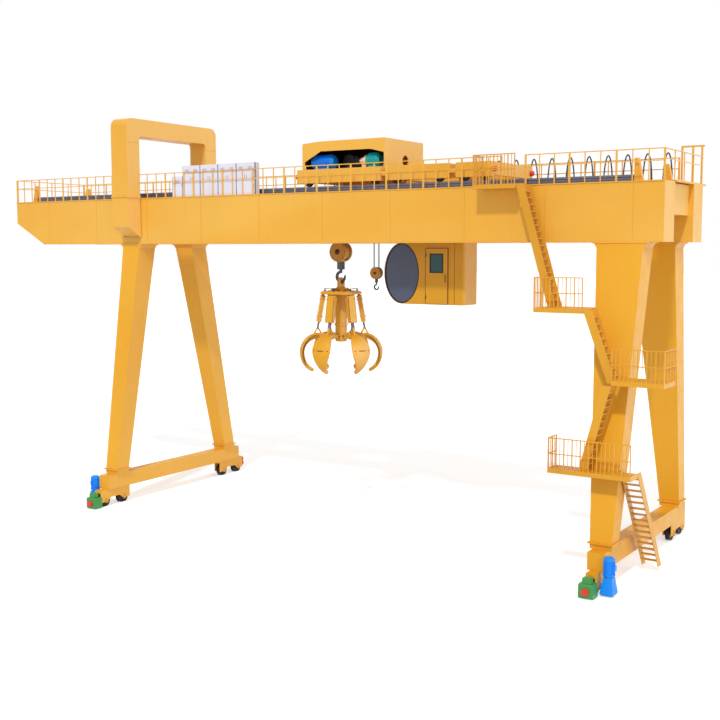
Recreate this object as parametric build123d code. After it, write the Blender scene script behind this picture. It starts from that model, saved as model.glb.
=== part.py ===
from build123d import *
from math import atan2, cos, hypot, pi, radians, sin, tan
import os

# A double girder gantry crane with an orange peel grab, in millimetres.
# X runs along the girders, Y across them and Z up. The origin lies on the ground rails' level,
# midway between the two rails and between the two girders.

# Gantry
span = 20760
girder_underside = 10530
girder_height = 1860
girder_width = 1045
girder_gap = 1952
left_overhang = 7265
right_overhang = 1145
plate = 12
round_sides = 20
wheel_sides = 16
pin_sides = 8
sheave_sides = 64
flange_thickness = 30
flange_lip = 25
end_chamfer_length = 1700
end_chamfer_height = 930
tie_depth = 970
tie_width = 500
tie_recess = 165
seat = 0.3

# Trolley rails on the girders
rail_height = 220
rail_head_width = 70
rail_foot_width = 130
rail_start_inset = 870
rail_end_inset = 1100
stop_height = 720
stop_length = 170
stop_width = 180

# Portal over the left end
portal_x = -10515
portal_width = 880
portal_depth = 700
portal_height = 3130
portal_beam_depth = 690
portal_outer_radius = 330
portal_inner_radius = 130
portal_joint = 40
bracket_drop = 1210
bracket_slope = 440

# Legs: the right pair is the rigid one, the left pair the flexible one
foot_level = 1430
leg_splay = 1650
leg_top_depth = 930
leg_foot_depth = 650
leg_head_height = 180
leg_head_flare = 110
foot_flange_height = 40
foot_flange_lip = 60
rigid_top_width = 1500
rigid_foot_width = 700
rigid_top_shift = -205
flexible_top_width = 920
flexible_foot_width = 640
flexible_top_shift = -255

# Sill beams, bogies and wheels
sill_bottom = 680
sill_height = 550
sill_width = 520
sill_length = 8180
wheel_radius = 250
wheel_tread = 110
wheel_flange_radius = 280
wheel_flange_thickness = 25
wheel_base = 1000
bogie_centre_y = 3650
bogie_length = 1600
bogie_width = 320
bogie_plate = 25
bogie_bottom = 190
bogie_arch = 150
axle_radius = 55
drive_width = 420
drive_offset = 90
motor_top = 1190
reducer_top = 640
reducer_bottom = 40
reducer_knee = 60
reducer_neck = 60
clamp_length = 400
clamp_width = 460
clamp_bottom = 20
clamp_top = 450
buffer_radius = 110
buffer_length = 90
buffer_level = 330

# Handrails
rail_level = 960
knee_level = 600
post_pitch = 510
posts_per_bay = 3
bar_size = 30
post_size = 60
handrail_inset = 20
access_width = 800

# Stair on the near side
flight_width = 560
stringer_depth = 250
stringer_thickness = 20
tread_going = 170
tread_thickness = 30
tread_pitch = 205
landing_thickness = 140
landing_rail = 960
landing_post_pitch = 255
top_landing_x = (5425, 6925)
landing_depth = 700
flight_1_foot_x = 8345
flight_gap = 20
flight_1_y = -2370
middle_landing_x = (7925, 9540)
middle_landing_level = 8500
flight_2_y = -3110
right_landing_x = (10650, 12250)
right_landing_level = 6430
flight_3_y = -3570
lower_landing_x = (8725, 11350)
lower_landing_level = 3620
flight_3_foot_x = 9680
flight_4_x = 11075
flight_4_foot_y = -760
flight_4_foot_level = 200
landing_front_y = -3950

# Platform at the right end
platform_depth = 770
platform_thickness = 60
platform_y = (-810, 2350)
tall_frame_y = 2080
tall_frame_height = 1340
tall_posts_x = (11145, 11445)

# Electrical cabinets on the near girder
cabinet_start = -7825
cabinet_pitch = 912
cabinet_count = 4
cabinet_height = 1200
cabinet_depth = 270
cabinet_gap = 16
cabinet_clearance = 8
small_cabinet_width = 550
small_cabinet_height = 800

# Festoon cable: hoops that stand on the rear girder, outside the trolley's beams
festoon_y = 1800
festoon_start = 1400
festoon_pitch = 692
festoon_count = 14
festoon_width = 368
festoon_thickness = 50
festoon_height = 1137
hoop_chords = 10

# Trolley
trolley_x = (-2425, 1225)
second_x = (1425, 3935)
third_x = (4225, 5565)
house_x = (-2375, 1225)
beam_width = 300
beam_bottom = 12730
beam_top = 13230
link_height = 160
deck_thickness = 60
trolley_wheel_radius = 170
trolley_wheel_width = 120
wheel_pocket_width = 170
trolley_wheels_x = (-1975, 925, 1825, 3535, 4525, 5265)
house_depth = 2750
house_eave = 970
house_rise = 60
house_shoulder = 750
house_wall = 30
house_opening = ((110, 20), (110, 300), (830, 670), (3000, 660), (3570, 520), (3570, 20))
house_vent_radius = 200
house_vent_y = 70
house_vent_level = 285
hoist_motor_places = ((-1650, -960, 255, 1000), (560, -960, 250, 560))
motor_foot = 40
main_crosshead = (480, 140, 100)
aux_crosshead = (230, 60, 80)
drum_x = -815
drum_radius = 240
drum_clearance = 60
drum_y = (-560, 640)
cone_length = 340
cone_taper = 23
aux_drum_radius = 150
aux_drum_y = 330
aux_drum_level = 260
cross_depth = 260
cross_lift = 60
trolley_buffer_radius = 90
trolley_buffer_length = 110

# Operator's cab
cab_x = (700, 4000)
cab_bottom = 8330
cab_height = 2220
cab_depth = 1070
cab_nose_half_width = 745
cab_wall = 50
cab_rim = 45
cab_corner_radius = 120
oval_chords = 36
cab_door_x = (2460, 3360)
cab_door_sill = 40
cab_door_height = 1970
cab_door_lap = 30
cab_door_thickness = 30
nose_window_share = 0.75
hanger_size = 110
hanger_brace_inset = 220
cab_window_x = (2660, 3150)
cab_window_z = (9500, 10120)
glass_thickness = 10

# Main hook block and hook
hook_sweep = 290
hook_sides = 8
hook_chords = 14
main_hook_centre = 9260
main_hook_x = -1585
block_radius = 375
block_width = 460
block_level = 10210
shank_radius = 165
shank_top = 9825
shank_bottom = 9540
hook_throat = 120
hook_section = 130
rope_size = 40
sheave_share = 0.82
main_rope_spread = 230

# Orange peel grab
grab_column_radius = 225
grab_column_top = 8860
grab_column_bottom = 6780
grab_collar_level = 8660
grab_collar_radius = 800
grab_collar_height = 110
grab_column_chamfer = 40
grab_band_level = 7400
grab_band_lip = 30
grab_band_height = 70
lug_thickness = 110
lug_play = 25
lug_wall = 90
lug_lift = 2.1
fork_play = 3
fork_plate = 25
fork_reach = 62
tine_arm_width = 110
tine_eye_radius = 60
tine_pin_radius = 26
tine_shoulder = 250
bracket_thickness = 60
lug_spread = 145
cover_corner = 40
cover_cap = 40
rod_crown = 60
tine_count = 6
first_tine_angle = 34
cover_width = 340
cover_depth = 230
cover_wall = 12
cover_top = 8540
cover_bottom = 7540
cover_top_radius = 690
cover_slant = 10
tine_pivot_radius = 300
tine_pivot_level = 7000
tine_arc_radius = 640
tine_arc_centre = (870, 6360)
tine_tip_angle = -72
tine_drop = 1.16
tine_chords = 9
tine_leaf_power = 0.72
tine_flat_half = 130
tine_wing_angle = 14
tine_thickness = 210
tine_tip_thickness = 90
tine_shell = 45
tine_half_width = 385
tine_rib_width = 150
rod_pin_offset = (600, 330)
rod_radius = 38
rod_length = 650
grab_close_angle = 34

# Auxiliary hook
aux_hook_x = 25
aux_block_radius = 225
aux_block_width = 220
aux_block_level = 9420
aux_rope_spread = 210
aux_shank_radius = 75
aux_shank_top = 9210
aux_shank_bottom = 9060
aux_hook_throat = 62
aux_hook_section = 62
aux_hook_centre = 8895

# Worked out from the sizes above
girder_top = girder_underside + girder_height
half_gap = girder_gap / 2
girder_outer = half_gap + girder_width
girder_y = half_gap + girder_width / 2
girder_left = -span / 2 - left_overhang
girder_right = span / 2 + right_overhang
rail_top = girder_top + rail_height
sill_top = sill_bottom + sill_height
tine_step = 360 / tine_count
leg_drop = girder_underside - foot_level


def block(x, y, z):
    """A plain box between pairs of coordinates."""
    size = (x[1] - x[0], y[1] - y[0], z[1] - z[0])
    middle = ((x[0] + x[1]) / 2, (y[0] + y[1]) / 2, (z[0] + z[1]) / 2)
    return Pos(*middle) * Box(*size)


def hollow_block(x, y, z):
    """A closed box of plate."""
    pairs = [(low + plate, high - plate) for low, high in (x, y, z)]
    return block(x, y, z) - block(*pairs)


def prism_xz(points, y):
    """A profile in X and Z, carried from y[0] to y[1]."""
    profile = make_face(Polyline(*[(px, 0, pz) for px, pz in points], close=True))
    return Pos(0, y[0], 0) * extrude(profile, amount=y[1] - y[0], dir=(0, 1, 0))


def prism_yz(points, x):
    """A profile in Y and Z, carried from x[0] to x[1]."""
    profile = make_face(Polyline(*[(0, py, pz) for py, pz in points], close=True))
    return Pos(x[0], 0, 0) * extrude(profile, amount=x[1] - x[0], dir=(1, 0, 0))


def bar(start, end, width, depth=None):
    """A straight rectangular bar from one point to another."""
    run = Vector(*end) - Vector(*start)
    across = Vector(0, 0, 1).cross(run)
    if across.length < 1e-6:
        across = Vector(1, 0, 0)
    section = Plane(origin=start, x_dir=across, z_dir=run) * Rectangle(width, depth or width)
    return extrude(section, amount=run.length, dir=run.normalized())


def round_bar(start, end, radius, sides=None):
    """A round bar from one point to another, with flat sides."""
    run = Vector(*end) - Vector(*start)
    section = Plane(origin=start, z_dir=run) * RegularPolygon(radius, sides or round_sides)
    return extrude(section, amount=run.length, dir=run.normalized())


def disc(radius, low, high, sides=None):
    """A flat sided disc round the Z axis, between two heights."""
    return Pos(0, 0, low) * extrude(RegularPolygon(radius, sides or round_sides), amount=high - low)


def across_y(solid):
    """The same solid on the other side of the crane's middle plane."""
    return mirror(solid, about=Plane.XZ)


def both_sides(solid):
    return [solid, across_y(solid)]


def fuse(solids):
    """One solid from pieces that touch."""
    first, *rest = solids
    return first.fuse(*rest) if rest else first


def leg_face_y(level):
    """Distance of a leg's outer face from the middle plane at a height."""
    return girder_outer + leg_splay * (girder_underside - level) / leg_drop


def leg_sides_x(centre, widths, top_shift, level):
    """The two X faces of a leg at a height."""
    share = (level - foot_level) / leg_drop
    middle = centre + top_shift * share
    half = (widths[1] + (widths[0] - widths[1]) * share) / 2
    return middle - half, middle + half


# Girders and what ties them
def girder_profile(inset):
    left = girder_left + inset
    right = girder_right - inset
    bottom = girder_underside + inset
    top = girder_top - inset
    turn = inset * tan(atan2(end_chamfer_height, end_chamfer_length) / 2)
    return [
        (left, top),
        (right, top),
        (right, bottom),
        (girder_left + end_chamfer_length + turn, bottom),
        (left, girder_underside + end_chamfer_height + inset * 0.5),
    ]


def girder(side):
    """A closed box girder with a flange plate along its top and bottom."""
    web = (half_gap + flange_lip, girder_outer - flange_lip)
    shell = prism_xz(girder_profile(0), web)
    core = prism_xz(girder_profile(plate), (web[0] + plate, web[1] - plate))
    top_flange = block(
        (girder_left, girder_right),
        (half_gap, girder_outer),
        (girder_top - flange_thickness, girder_top),
    )
    bottom_flange = block(
        (girder_left + end_chamfer_length, girder_right),
        (half_gap, girder_outer),
        (girder_underside, girder_underside + flange_thickness),
    )
    solid = shell + top_flange + bottom_flange - core
    return across_y(solid) if side < 0 else solid


def end_ties():
    level = (girder_top - flange_thickness - seat - tie_depth, girder_top - flange_thickness - seat)
    reach = half_gap + flange_lip
    ends = []
    for start in (girder_left + tie_recess, girder_right - tie_recess - tie_width):
        outside = block((start, start + tie_width), (-reach, reach), level)
        inside = block(
            (start + plate, start + tie_width - plate),
            (-reach + plate, reach - plate),
            (level[0] + plate, level[1] - plate),
        )
        ends.append(outside - inside)
    return ends


def trolley_rails():
    foot = rail_foot_width / 2
    head = rail_head_width / 2
    web = rail_head_width / 6
    profile = [
        (girder_y - foot, girder_top),
        (girder_y + foot, girder_top),
        (girder_y + foot, girder_top + rail_height * 0.12),
        (girder_y + web, girder_top + rail_height * 0.3),
        (girder_y + web, girder_top + rail_height * 0.6),
        (girder_y + head, girder_top + rail_height * 0.7),
        (girder_y + head, rail_top),
        (girder_y - head, rail_top),
        (girder_y - head, girder_top + rail_height * 0.7),
        (girder_y - web, girder_top + rail_height * 0.6),
        (girder_y - web, girder_top + rail_height * 0.3),
        (girder_y - foot, girder_top + rail_height * 0.12),
    ]
    return both_sides(prism_yz(profile, (girder_left + rail_start_inset, girder_right - rail_end_inset)))


def rail_stops():
    """A tapered stop past each end of each rail."""
    stops = []
    for edge, way in (
        (girder_left + rail_start_inset - seat, -1),
        (girder_right - rail_end_inset + seat, 1),
    ):
        profile = [
            (edge, girder_top),
            (edge + way * stop_length * 1.6, girder_top),
            (edge + way * stop_length * 0.7, girder_top + stop_height),
            (edge, girder_top + stop_height),
        ]
        stops += both_sides(prism_xz(profile, (girder_y - stop_width / 2, girder_y + stop_width / 2)))
    return stops


# Portal frame over the girders
def portal_solid(inset):
    outer = girder_outer + portal_depth - inset
    bottom = girder_top + portal_joint + inset
    top = girder_top + portal_joint + portal_height - inset
    half = portal_width / 2 - inset
    frame = block((portal_x - half, portal_x + half), (-outer, outer), (bottom, top))
    crown = frame.edges().filter_by(Axis.X).group_by(Axis.Z)[-1]
    frame = fillet(crown, portal_outer_radius - inset)
    window = block(
        (portal_x - half - 1, portal_x + half + 1),
        (-girder_outer - inset, girder_outer + inset),
        (bottom - portal_inner_radius * 2, top + 2 * inset - portal_beam_depth),
    )
    corners = window.edges().filter_by(Axis.X).group_by(Axis.Z)[-1]
    return frame - fillet(corners, portal_inner_radius + inset)


def portal_frame():
    """A square frame of box section that stands on the girders' outer faces."""
    return portal_solid(0) - portal_solid(plate)


def portal_brackets():
    """The wedge shaped seats of the portal on the girders' outer webs."""
    wedges = []
    for inset in (0, plate):
        web = girder_outer + seat + inset
        outer = girder_outer + portal_depth - inset
        top = girder_top + portal_joint - seat - inset
        drop = bracket_drop - inset * 0.4
        profile = [
            (web, top),
            (outer, top),
            (outer, top + inset - drop),
            (web, top + inset - drop - bracket_slope),
        ]
        half = portal_width / 2 - inset
        wedges.append(prism_yz(profile, (portal_x - half, portal_x + half)))
    return both_sides(wedges[0] - wedges[1])


# Legs, sills and running gear
def leg(centre, widths, top_shift, side):
    """A tapered box leg that leans outwards in Y, with a flared head and a foot plate."""

    def outline(level, inset):
        x = leg_sides_x(centre, widths, top_shift, level)
        outer = leg_face_y(level)
        share = (level - foot_level) / leg_drop
        depth = leg_foot_depth + (leg_top_depth - leg_foot_depth) * share
        return (x[0] + inset, x[1] - inset), (outer - depth + inset, outer - inset)

    def between(low, high, inset, flare=0):
        """Where the leg's front outline and its side outline meet, from one level to another."""
        x_low, y_low = outline(low, inset)
        x_high, y_high = outline(high, inset)
        wide = (x_high[0] - flare, x_high[1] + flare)
        front = [(x_low[0], low), (x_low[1], low), (wide[1], high), (wide[0], high)]
        across = [(y_low[0], low), (y_low[1], low), (y_high[1], high), (y_high[0], high)]
        return prism_xz(front, (y_high[0], y_low[1])) & prism_yz(across, (wide[0] - 500, wide[1] + 500))

    head = girder_underside - seat
    outside = between(foot_level, head, 0)
    inside = between(foot_level + plate, head - plate, plate)
    haunch = between(head - leg_head_height, head, 0, leg_head_flare)
    x, y = outline(foot_level, 0)
    foot = block(
        (x[0] - foot_flange_lip, x[1] + foot_flange_lip),
        (y[0] - foot_flange_lip, y[1] + foot_flange_lip),
        (foot_level - foot_flange_height, foot_level),
    )
    pedestal = block(x, y, (sill_top + seat, foot_level - foot_flange_height))
    solid = outside + haunch + foot + pedestal - inside
    return across_y(solid) if side < 0 else solid


def sill(centre):
    x = (centre - sill_width / 2, centre + sill_width / 2)
    y = (-sill_length / 2, sill_length / 2)
    outside = block(x, y, (sill_bottom, sill_top))
    inside = block(
        (x[0] + plate, x[1] - plate),
        (y[0] + plate, y[1] - plate),
        (sill_bottom + plate, sill_top - plate),
    )
    return outside - inside


def bogie(centre):
    """Two arched side plates joined by a top plate, under one end of a sill."""
    half = bogie_length / 2
    top = sill_bottom - seat
    low = bogie_centre_y - half
    high = bogie_centre_y + half
    shape = [
        (low, top),
        (high, top),
        (high, bogie_bottom),
        (high - half * 0.45, bogie_bottom),
        (high - half * 0.7, bogie_bottom + bogie_arch),
        (low + half * 0.7, bogie_bottom + bogie_arch),
        (low + half * 0.45, bogie_bottom),
        (low, bogie_bottom),
    ]
    pieces = []
    for way in (-1, 1):
        face = centre + way * bogie_width / 2
        pieces.append(prism_yz(shape, sorted((face, face - way * bogie_plate))))
    pieces.append(
        block(
            (centre - bogie_width / 2, centre + bogie_width / 2),
            (low, high),
            (top - bogie_plate, top),
        )
    )
    for way in (-1, 1):
        edge = high if way > 0 else low + bogie_plate
        pieces.append(
            block(
                (centre - bogie_width / 2, centre + bogie_width / 2),
                (edge - bogie_plate, edge),
                (wheel_radius * 2 + 60, top),
            )
        )
    return fuse(pieces)


def wheel(centre, y):
    """A crane wheel with a flange on each side of its tread, and its axle."""
    half = wheel_tread / 2
    flange = half + wheel_flange_thickness
    inner = bogie_width / 2 - bogie_plate - seat
    turned = disc(wheel_radius, -half, half, wheel_sides)
    turned += disc(wheel_flange_radius, -flange, -half, wheel_sides)
    turned += disc(wheel_flange_radius, half, flange, wheel_sides)
    turned += disc(axle_radius, -inner, inner, pin_sides)
    return Pos(centre, y, wheel_radius) * Rot(0, 90, 0) * turned


def wheels():
    solids = []
    for centre in (-span / 2, span / 2):
        for way in (-1, 1):
            y = bogie_centre_y + way * wheel_base / 2
            solids += both_sides(wheel(centre, y))
    return solids


def drive_x(centre, way):
    face = centre + way * (bogie_width / 2 + drive_offset)
    return face + way * drive_width / 2


def travel_reducers():
    """The tapered gear cases at the near corners, with the stub that turns the wheel's axle."""
    solids = []
    y = -(bogie_centre_y + wheel_base / 2)
    for centre, way in ((-span / 2, -1), (span / 2, 1)):
        x = drive_x(centre, way)
        half = drive_width / 2
        widths = (
            (half * 0.8, reducer_bottom),
            (half, reducer_bottom + reducer_knee),
            (half * 0.66, reducer_top - reducer_neck),
        )
        right = [(reach, level) for reach, level in widths]
        left = [(-reach, level) for reach, level in reversed(widths)]
        outline = right + left
        case = Pos(x, y, 0) * (prism_xz(outline, (-half, half)) & prism_yz(outline, (-half, half)))
        neck = Pos(x, y, 0) * disc(drive_width * 0.36, reducer_top - reducer_neck, reducer_top)
        stub = round_bar(
            (x - way * half * 0.6, y, wheel_radius),
            (x - way * (half + drive_offset - seat), y, wheel_radius),
            axle_radius,
            pin_sides,
        )
        solids.append(case + neck + stub)
    return solids


def travel_motors():
    """Upright motors with a domed cap and a terminal box."""
    solids = []
    y = -(bogie_centre_y + wheel_base / 2)
    base = reducer_top + seat
    radius = drive_width * 0.44
    for centre, way in ((-span / 2, -1), (span / 2, 1)):
        x = drive_x(centre, way)
        cowl = disc(radius * 0.94, motor_top - 110, motor_top)
        cowl = chamfer(cowl.edges().group_by(Axis.Z)[-1], 50)
        body = cowl + disc(radius, base, base + 45) + disc(radius * 0.88, base, motor_top - 100)
        body = Pos(x, y, 0) * body
        box = block(
            sorted((x + way * radius * 0.6, x + way * radius * 1.12)),
            (y - 70, y + 70),
            (base + 150, base + 330),
        )
        solids.append(body + box)
    return solids


def rail_clamps():
    """The clamp boxes in line with the rails at the near ends, on a plate on the bogie."""
    solids = []
    face = -(bogie_centre_y + bogie_length / 2 + seat)
    for centre in (-span / 2, span / 2):
        x = (centre - clamp_width / 2, centre + clamp_width / 2)
        case = block(x, (face - clamp_length, face), (clamp_bottom, clamp_top))
        case = chamfer(case.edges().filter_by(Axis.X), 35)
        lever = block(
            (centre - clamp_width * 0.3, centre + clamp_width * 0.3),
            (face - clamp_length * 0.8, face - clamp_length * 0.3),
            (clamp_top - 1, clamp_top + 170),
        )
        solids.append(case + lever)
    return solids


def ground_buffers():
    """Round buffers at both ends of each runway: on the clamps, or on a bracket at the far end."""
    solids = []
    near = -(bogie_centre_y + bogie_length / 2 + clamp_length + 2 * seat)
    far = bogie_centre_y + bogie_length / 2 + seat
    for centre in (-span / 2, span / 2):
        level = clamp_bottom + (clamp_top - clamp_bottom) / 2
        tip = (centre, near - buffer_length, level)
        solids.append(round_bar((centre, near, level), tip, buffer_radius, wheel_sides))
        arm = block(
            (centre - buffer_radius, centre + buffer_radius),
            (far, far + buffer_length * 1.6),
            (buffer_level + buffer_radius, sill_bottom - 60),
        )
        pad = round_bar(
            (centre, far, buffer_level),
            (centre, far + buffer_length * 1.9, buffer_level),
            buffer_radius * 1.02,
            wheel_sides,
        )
        solids.append(arm + pad)
    return solids


# Handrails
def rail_panel(length, pitch, height, knee, bays=1, stout=bar_size):
    """Posts under a top rail, from X 0 to its length, and a flat knee rail on their face.

    Every bay has the same number of posts, and starts and ends at a stout one.
    """
    count = bays * max(1, round(length / (pitch * bays)))
    per_bay = count // bays
    teeth = []
    for index in reversed(range(count + 1)):
        half = (stout if index % per_bay == 0 else bar_size) / 2
        middle = min(max(length * index / count, half), length - half)
        teeth += [(middle + half, height - bar_size), (middle + half, 0)]
        teeth += [(middle - half, 0), (middle - half, height - bar_size)]
    outline = [(0, height), (length, height)] + teeth[1:-1]
    panel = extrude(make_face(Polyline(*outline, close=True)), amount=bar_size / 2, both=True)
    face = bar_size / 2 + seat
    return [panel, block((0, length), (knee - bar_size, knee), (face, face + plate))]


def handrail_run(x0, x1, y, base):
    """One handrail along X, standing on a level, with a stouter post at each bay."""
    length = x1 - x0
    bays = max(1, round(length / (post_pitch * posts_per_bay)))
    panel = rail_panel(length, post_pitch, rail_level, knee_level, bays, post_size)
    return moved(panel, Pos(x0, y, base) * Rot(90, 0, 0))


def front_handrail():
    y = -(girder_outer - handrail_inset - post_size / 2)
    gate = (top_landing_x[1] - access_width, top_landing_x[1])
    left = handrail_run(girder_left, gate[0], y, girder_top)
    return left + handrail_run(gate[1], girder_right, y, girder_top)


def rear_handrail():
    y = -(girder_outer - handrail_inset - post_size / 2)
    run = handrail_run(girder_left, girder_right - platform_depth - seat, y, girder_top)
    return [across_y(solid) for solid in run]


def end_railings():
    """Plain railings across both ends, between the handrails."""
    reach = girder_outer - handrail_inset - post_size - seat
    solids = []
    deck = girder_top + platform_thickness + 2 * seat
    for x, base in ((girder_left + bar_size, girder_top), (girder_right - bar_size, deck)):
        height = girder_top + rail_level - base
        panel = rail_panel(2 * reach, post_pitch * 2, height, knee_level)
        solids += moved(panel, Pos(x, -reach, base) * Rot(0, 0, 90) * Rot(90, 0, 0))
    return solids


# Stair
def flight(head, foot, width):
    """Stringers and treads along X, from the head's edge to the foot's edge."""
    way = 1 if foot[0] > head[0] else -1
    drop = head[1] - foot[1]
    run = abs(foot[0] - head[0])
    cut = stringer_depth * hypot(run, drop) / drop
    profile = [
        (head[0], head[1]),
        (head[0] + way * cut, head[1]),
        (foot[0], foot[1]),
        (foot[0] - way * cut, foot[1]),
    ]
    half = width / 2
    solids = []
    for side in (-1, 1):
        y = sorted((side * half, side * (half - stringer_thickness)))
        solids.append(prism_xz(profile, y))
    count = int(drop // tread_pitch)
    reach = half - stringer_thickness - seat
    for index in range(1, count):
        share = index / count
        x = head[0] + way * (cut / 2 + (run - cut) * share)
        level = head[1] - drop * share
        solids.append(
            block(
                (x - tread_going / 2, x + tread_going / 2),
                (-reach, reach),
                (level - tread_thickness, level),
            )
        )
    return solids


def moved(solids, location):
    return [location * solid for solid in solids]


def flights():
    under_right = right_landing_level - landing_thickness
    first = flight(
        (top_landing_x[1] + seat, girder_top),
        (flight_1_foot_x, middle_landing_level + seat),
        flight_width,
    )
    second = flight(
        (middle_landing_x[1] + seat, middle_landing_level),
        (right_landing_x[0] - seat, under_right),
        flight_width,
    )
    third = flight(
        (right_landing_x[0] - seat, under_right - flight_gap),
        (flight_3_foot_x, lower_landing_level + seat),
        flight_width,
    )
    inner_edge = -leg_face_y(lower_landing_level - landing_thickness)
    fourth = flight(
        (inner_edge, lower_landing_level),
        (flight_4_foot_y, flight_4_foot_level),
        flight_width - 20,
    )
    return {
        "stair_flight_1": moved(first, Pos(0, flight_1_y, 0)),
        "stair_flight_2": moved(second, Pos(0, flight_2_y, 0)),
        "stair_flight_3": moved(third, Pos(0, flight_3_y, 0)),
        "stair_flight_4": moved(fourth, Pos(flight_4_x, 0, 0) * Rot(0, 0, 90)),
    }


def landing(x, y, level, sides):
    """A landing plate with a railing along the named sides, each a stretch of its edge."""
    solids = [block(x, y, (level - landing_thickness, level))]
    base = level + seat
    for side, start, end in sides:
        if side == "front":
            place = Pos(start, y[0] + bar_size / 2, base)
        else:
            start = max(start, y[0] + bar_size + seat)
            edge = x[0] + bar_size / 2 if side == "left" else x[1] - bar_size / 2
            place = Pos(edge, start, base) * Rot(0, 0, 90)
        panel = rail_panel(end - start, landing_post_pitch, landing_rail, landing_rail * 0.5)
        solids += moved(panel, place * Rot(90, 0, 0))
    return solids


def landings():
    top_y = (-girder_outer - landing_depth, -girder_outer - seat)
    top = landing(
        top_landing_x,
        top_y,
        girder_top,
        (("front", *top_landing_x), ("left", *top_y)),
    )
    middle_y = (flight_2_y - flight_width / 2, -girder_outer - 60)
    first_flight_edge = flight_1_y - flight_width / 2 - 20
    middle = landing(
        middle_landing_x,
        middle_y,
        middle_landing_level,
        (("front", *middle_landing_x), ("left", middle_y[0], first_flight_edge)),
    )
    right_y = (
        flight_3_y - flight_width / 2,
        -leg_face_y(right_landing_level - landing_thickness) - seat,
    )
    right = landing(
        right_landing_x,
        right_y,
        right_landing_level,
        (("front", *right_landing_x), ("right", *right_y)),
    )
    lower_y = (landing_front_y, -leg_face_y(lower_landing_level - landing_thickness) - seat)
    lower = landing(
        lower_landing_x,
        lower_y,
        lower_landing_level,
        (("front", *lower_landing_x), ("left", *lower_y)),
    )
    return top + middle + right + lower


# Cabinets and festoon
def electrical_cabinets():
    near = -(girder_outer - handrail_inset - post_size * 0.9 - cabinet_clearance)
    y = (near, near + cabinet_depth)
    end = cabinet_start - cabinet_gap
    places = [(end - small_cabinet_width, end, small_cabinet_height)]
    for index in range(cabinet_count):
        start = cabinet_start + index * cabinet_pitch
        places.append((start, start + cabinet_pitch - cabinet_gap, cabinet_height))
    return [hollow_block((x0, x1), y, (girder_top, girder_top + height)) for x0, x1, height in places]


def festoon_cable():
    """The trolley's cable, which stands in a row of tall hoops beside the rear rail."""
    angles = [pi * step / hoop_chords for step in range(hoop_chords + 1)]
    outline = []
    for inset, turns in ((0, angles), (festoon_thickness, reversed(angles))):
        half = festoon_width / 2 - inset
        height = festoon_height - inset
        outline += [(half * cos(angle), height * sin(angle)) for angle in turns]
    half_thickness = festoon_thickness / 2
    hoop = prism_xz(outline, (-half_thickness, half_thickness))
    places = [festoon_start + index * festoon_pitch for index in range(festoon_count)]
    return [Pos(x, festoon_y, girder_top) * hoop for x in places]


# Trolley
def trolley_frame():
    """Side beams over the rails in three linked lengths, with cross beams and a deck."""
    pieces = []
    for x in (trolley_x, second_x, third_x):
        for side in (-1, 1):
            y = (side * girder_y - beam_width / 2, side * girder_y + beam_width / 2)
            pieces.append(block(x, y, (beam_bottom, beam_top)))
    for x0, x1 in ((trolley_x[1], second_x[0]), (second_x[1], third_x[0])):
        for side in (-1, 1):
            y = (side * girder_y - 60, side * girder_y + 60)
            middle = (beam_bottom + beam_top) / 2
            pieces.append(block((x0, x1), y, (middle - link_height / 2, middle + link_height / 2)))
    inside = girder_y - beam_width / 2
    low = beam_bottom + cross_lift
    for ends in (trolley_x, second_x, third_x):
        for x in (ends[0], ends[1] - cross_depth):
            pieces.append(block((x, x + cross_depth), (-inside, inside), (low, beam_top)))
    for x, (reach, half, height) in ((main_hook_x, main_crosshead), (aux_hook_x, aux_crosshead)):
        pieces.append(block((x - reach, x + reach), (-half, half), (beam_top, beam_top + height)))
    deck = block(
        (trolley_x[0] + cross_depth, trolley_x[1] - cross_depth),
        (-inside, inside),
        (beam_top - deck_thickness, beam_top),
    )
    well = block(
        (main_hook_x - 420, main_hook_x + 420),
        (-main_rope_spread - 120, main_rope_spread + 120),
        (beam_top - deck_thickness - 1, beam_top + 1),
    )
    aux_well = block(
        (aux_hook_x - 170, aux_hook_x + 170),
        (-260, 260),
        (beam_top - deck_thickness - 1, beam_top + 1),
    )
    pieces.append(deck - well - aux_well)
    frame = fuse(pieces)
    hollow_low = rail_top + 2 * trolley_wheel_radius + 40 + plate
    half = beam_width / 2 - plate
    for side in (-1, 1):
        for x in trolley_wheels_x:
            frame -= wheel_pocket(x, side * girder_y)
        for x in (trolley_x, second_x, third_x):
            y = (side * girder_y - half, side * girder_y + half)
            frame -= block((x[0] + plate, x[1] - plate), y, (hollow_low, beam_top - plate))
    return frame


def wheel_pocket(x, y):
    half = wheel_pocket_width / 2
    reach = trolley_wheel_radius + 20
    return block((x - reach, x + reach), (y - half, y + half), (beam_bottom - 1, rail_top + 2 * reach))


def trolley_wheels():
    solids = []
    for x in trolley_wheels_x:
        hub = Pos(x, girder_y, rail_top + trolley_wheel_radius + seat)
        half = trolley_wheel_width / 2
        tread = disc(trolley_wheel_radius, -half, half, wheel_sides)
        reach = wheel_pocket_width / 2 - seat
        boss = disc(trolley_wheel_radius * 0.4, -reach, reach, pin_sides)
        solids += both_sides(hub * Rot(90, 0, 0) * (tread + boss))
    return solids


def trolley_buffers():
    """Round buffers on the leading and trailing ends of the trolley's beams."""
    level = (beam_bottom + beam_top) / 2
    solids = []
    for x, way in ((trolley_x[0], -1), (third_x[1], 1)):
        start = x + way * seat
        buffer = round_bar(
            (start, girder_y, level),
            (start + way * trolley_buffer_length, girder_y, level),
            trolley_buffer_radius,
            wheel_sides,
        )
        solids += both_sides(buffer)
    return solids


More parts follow.
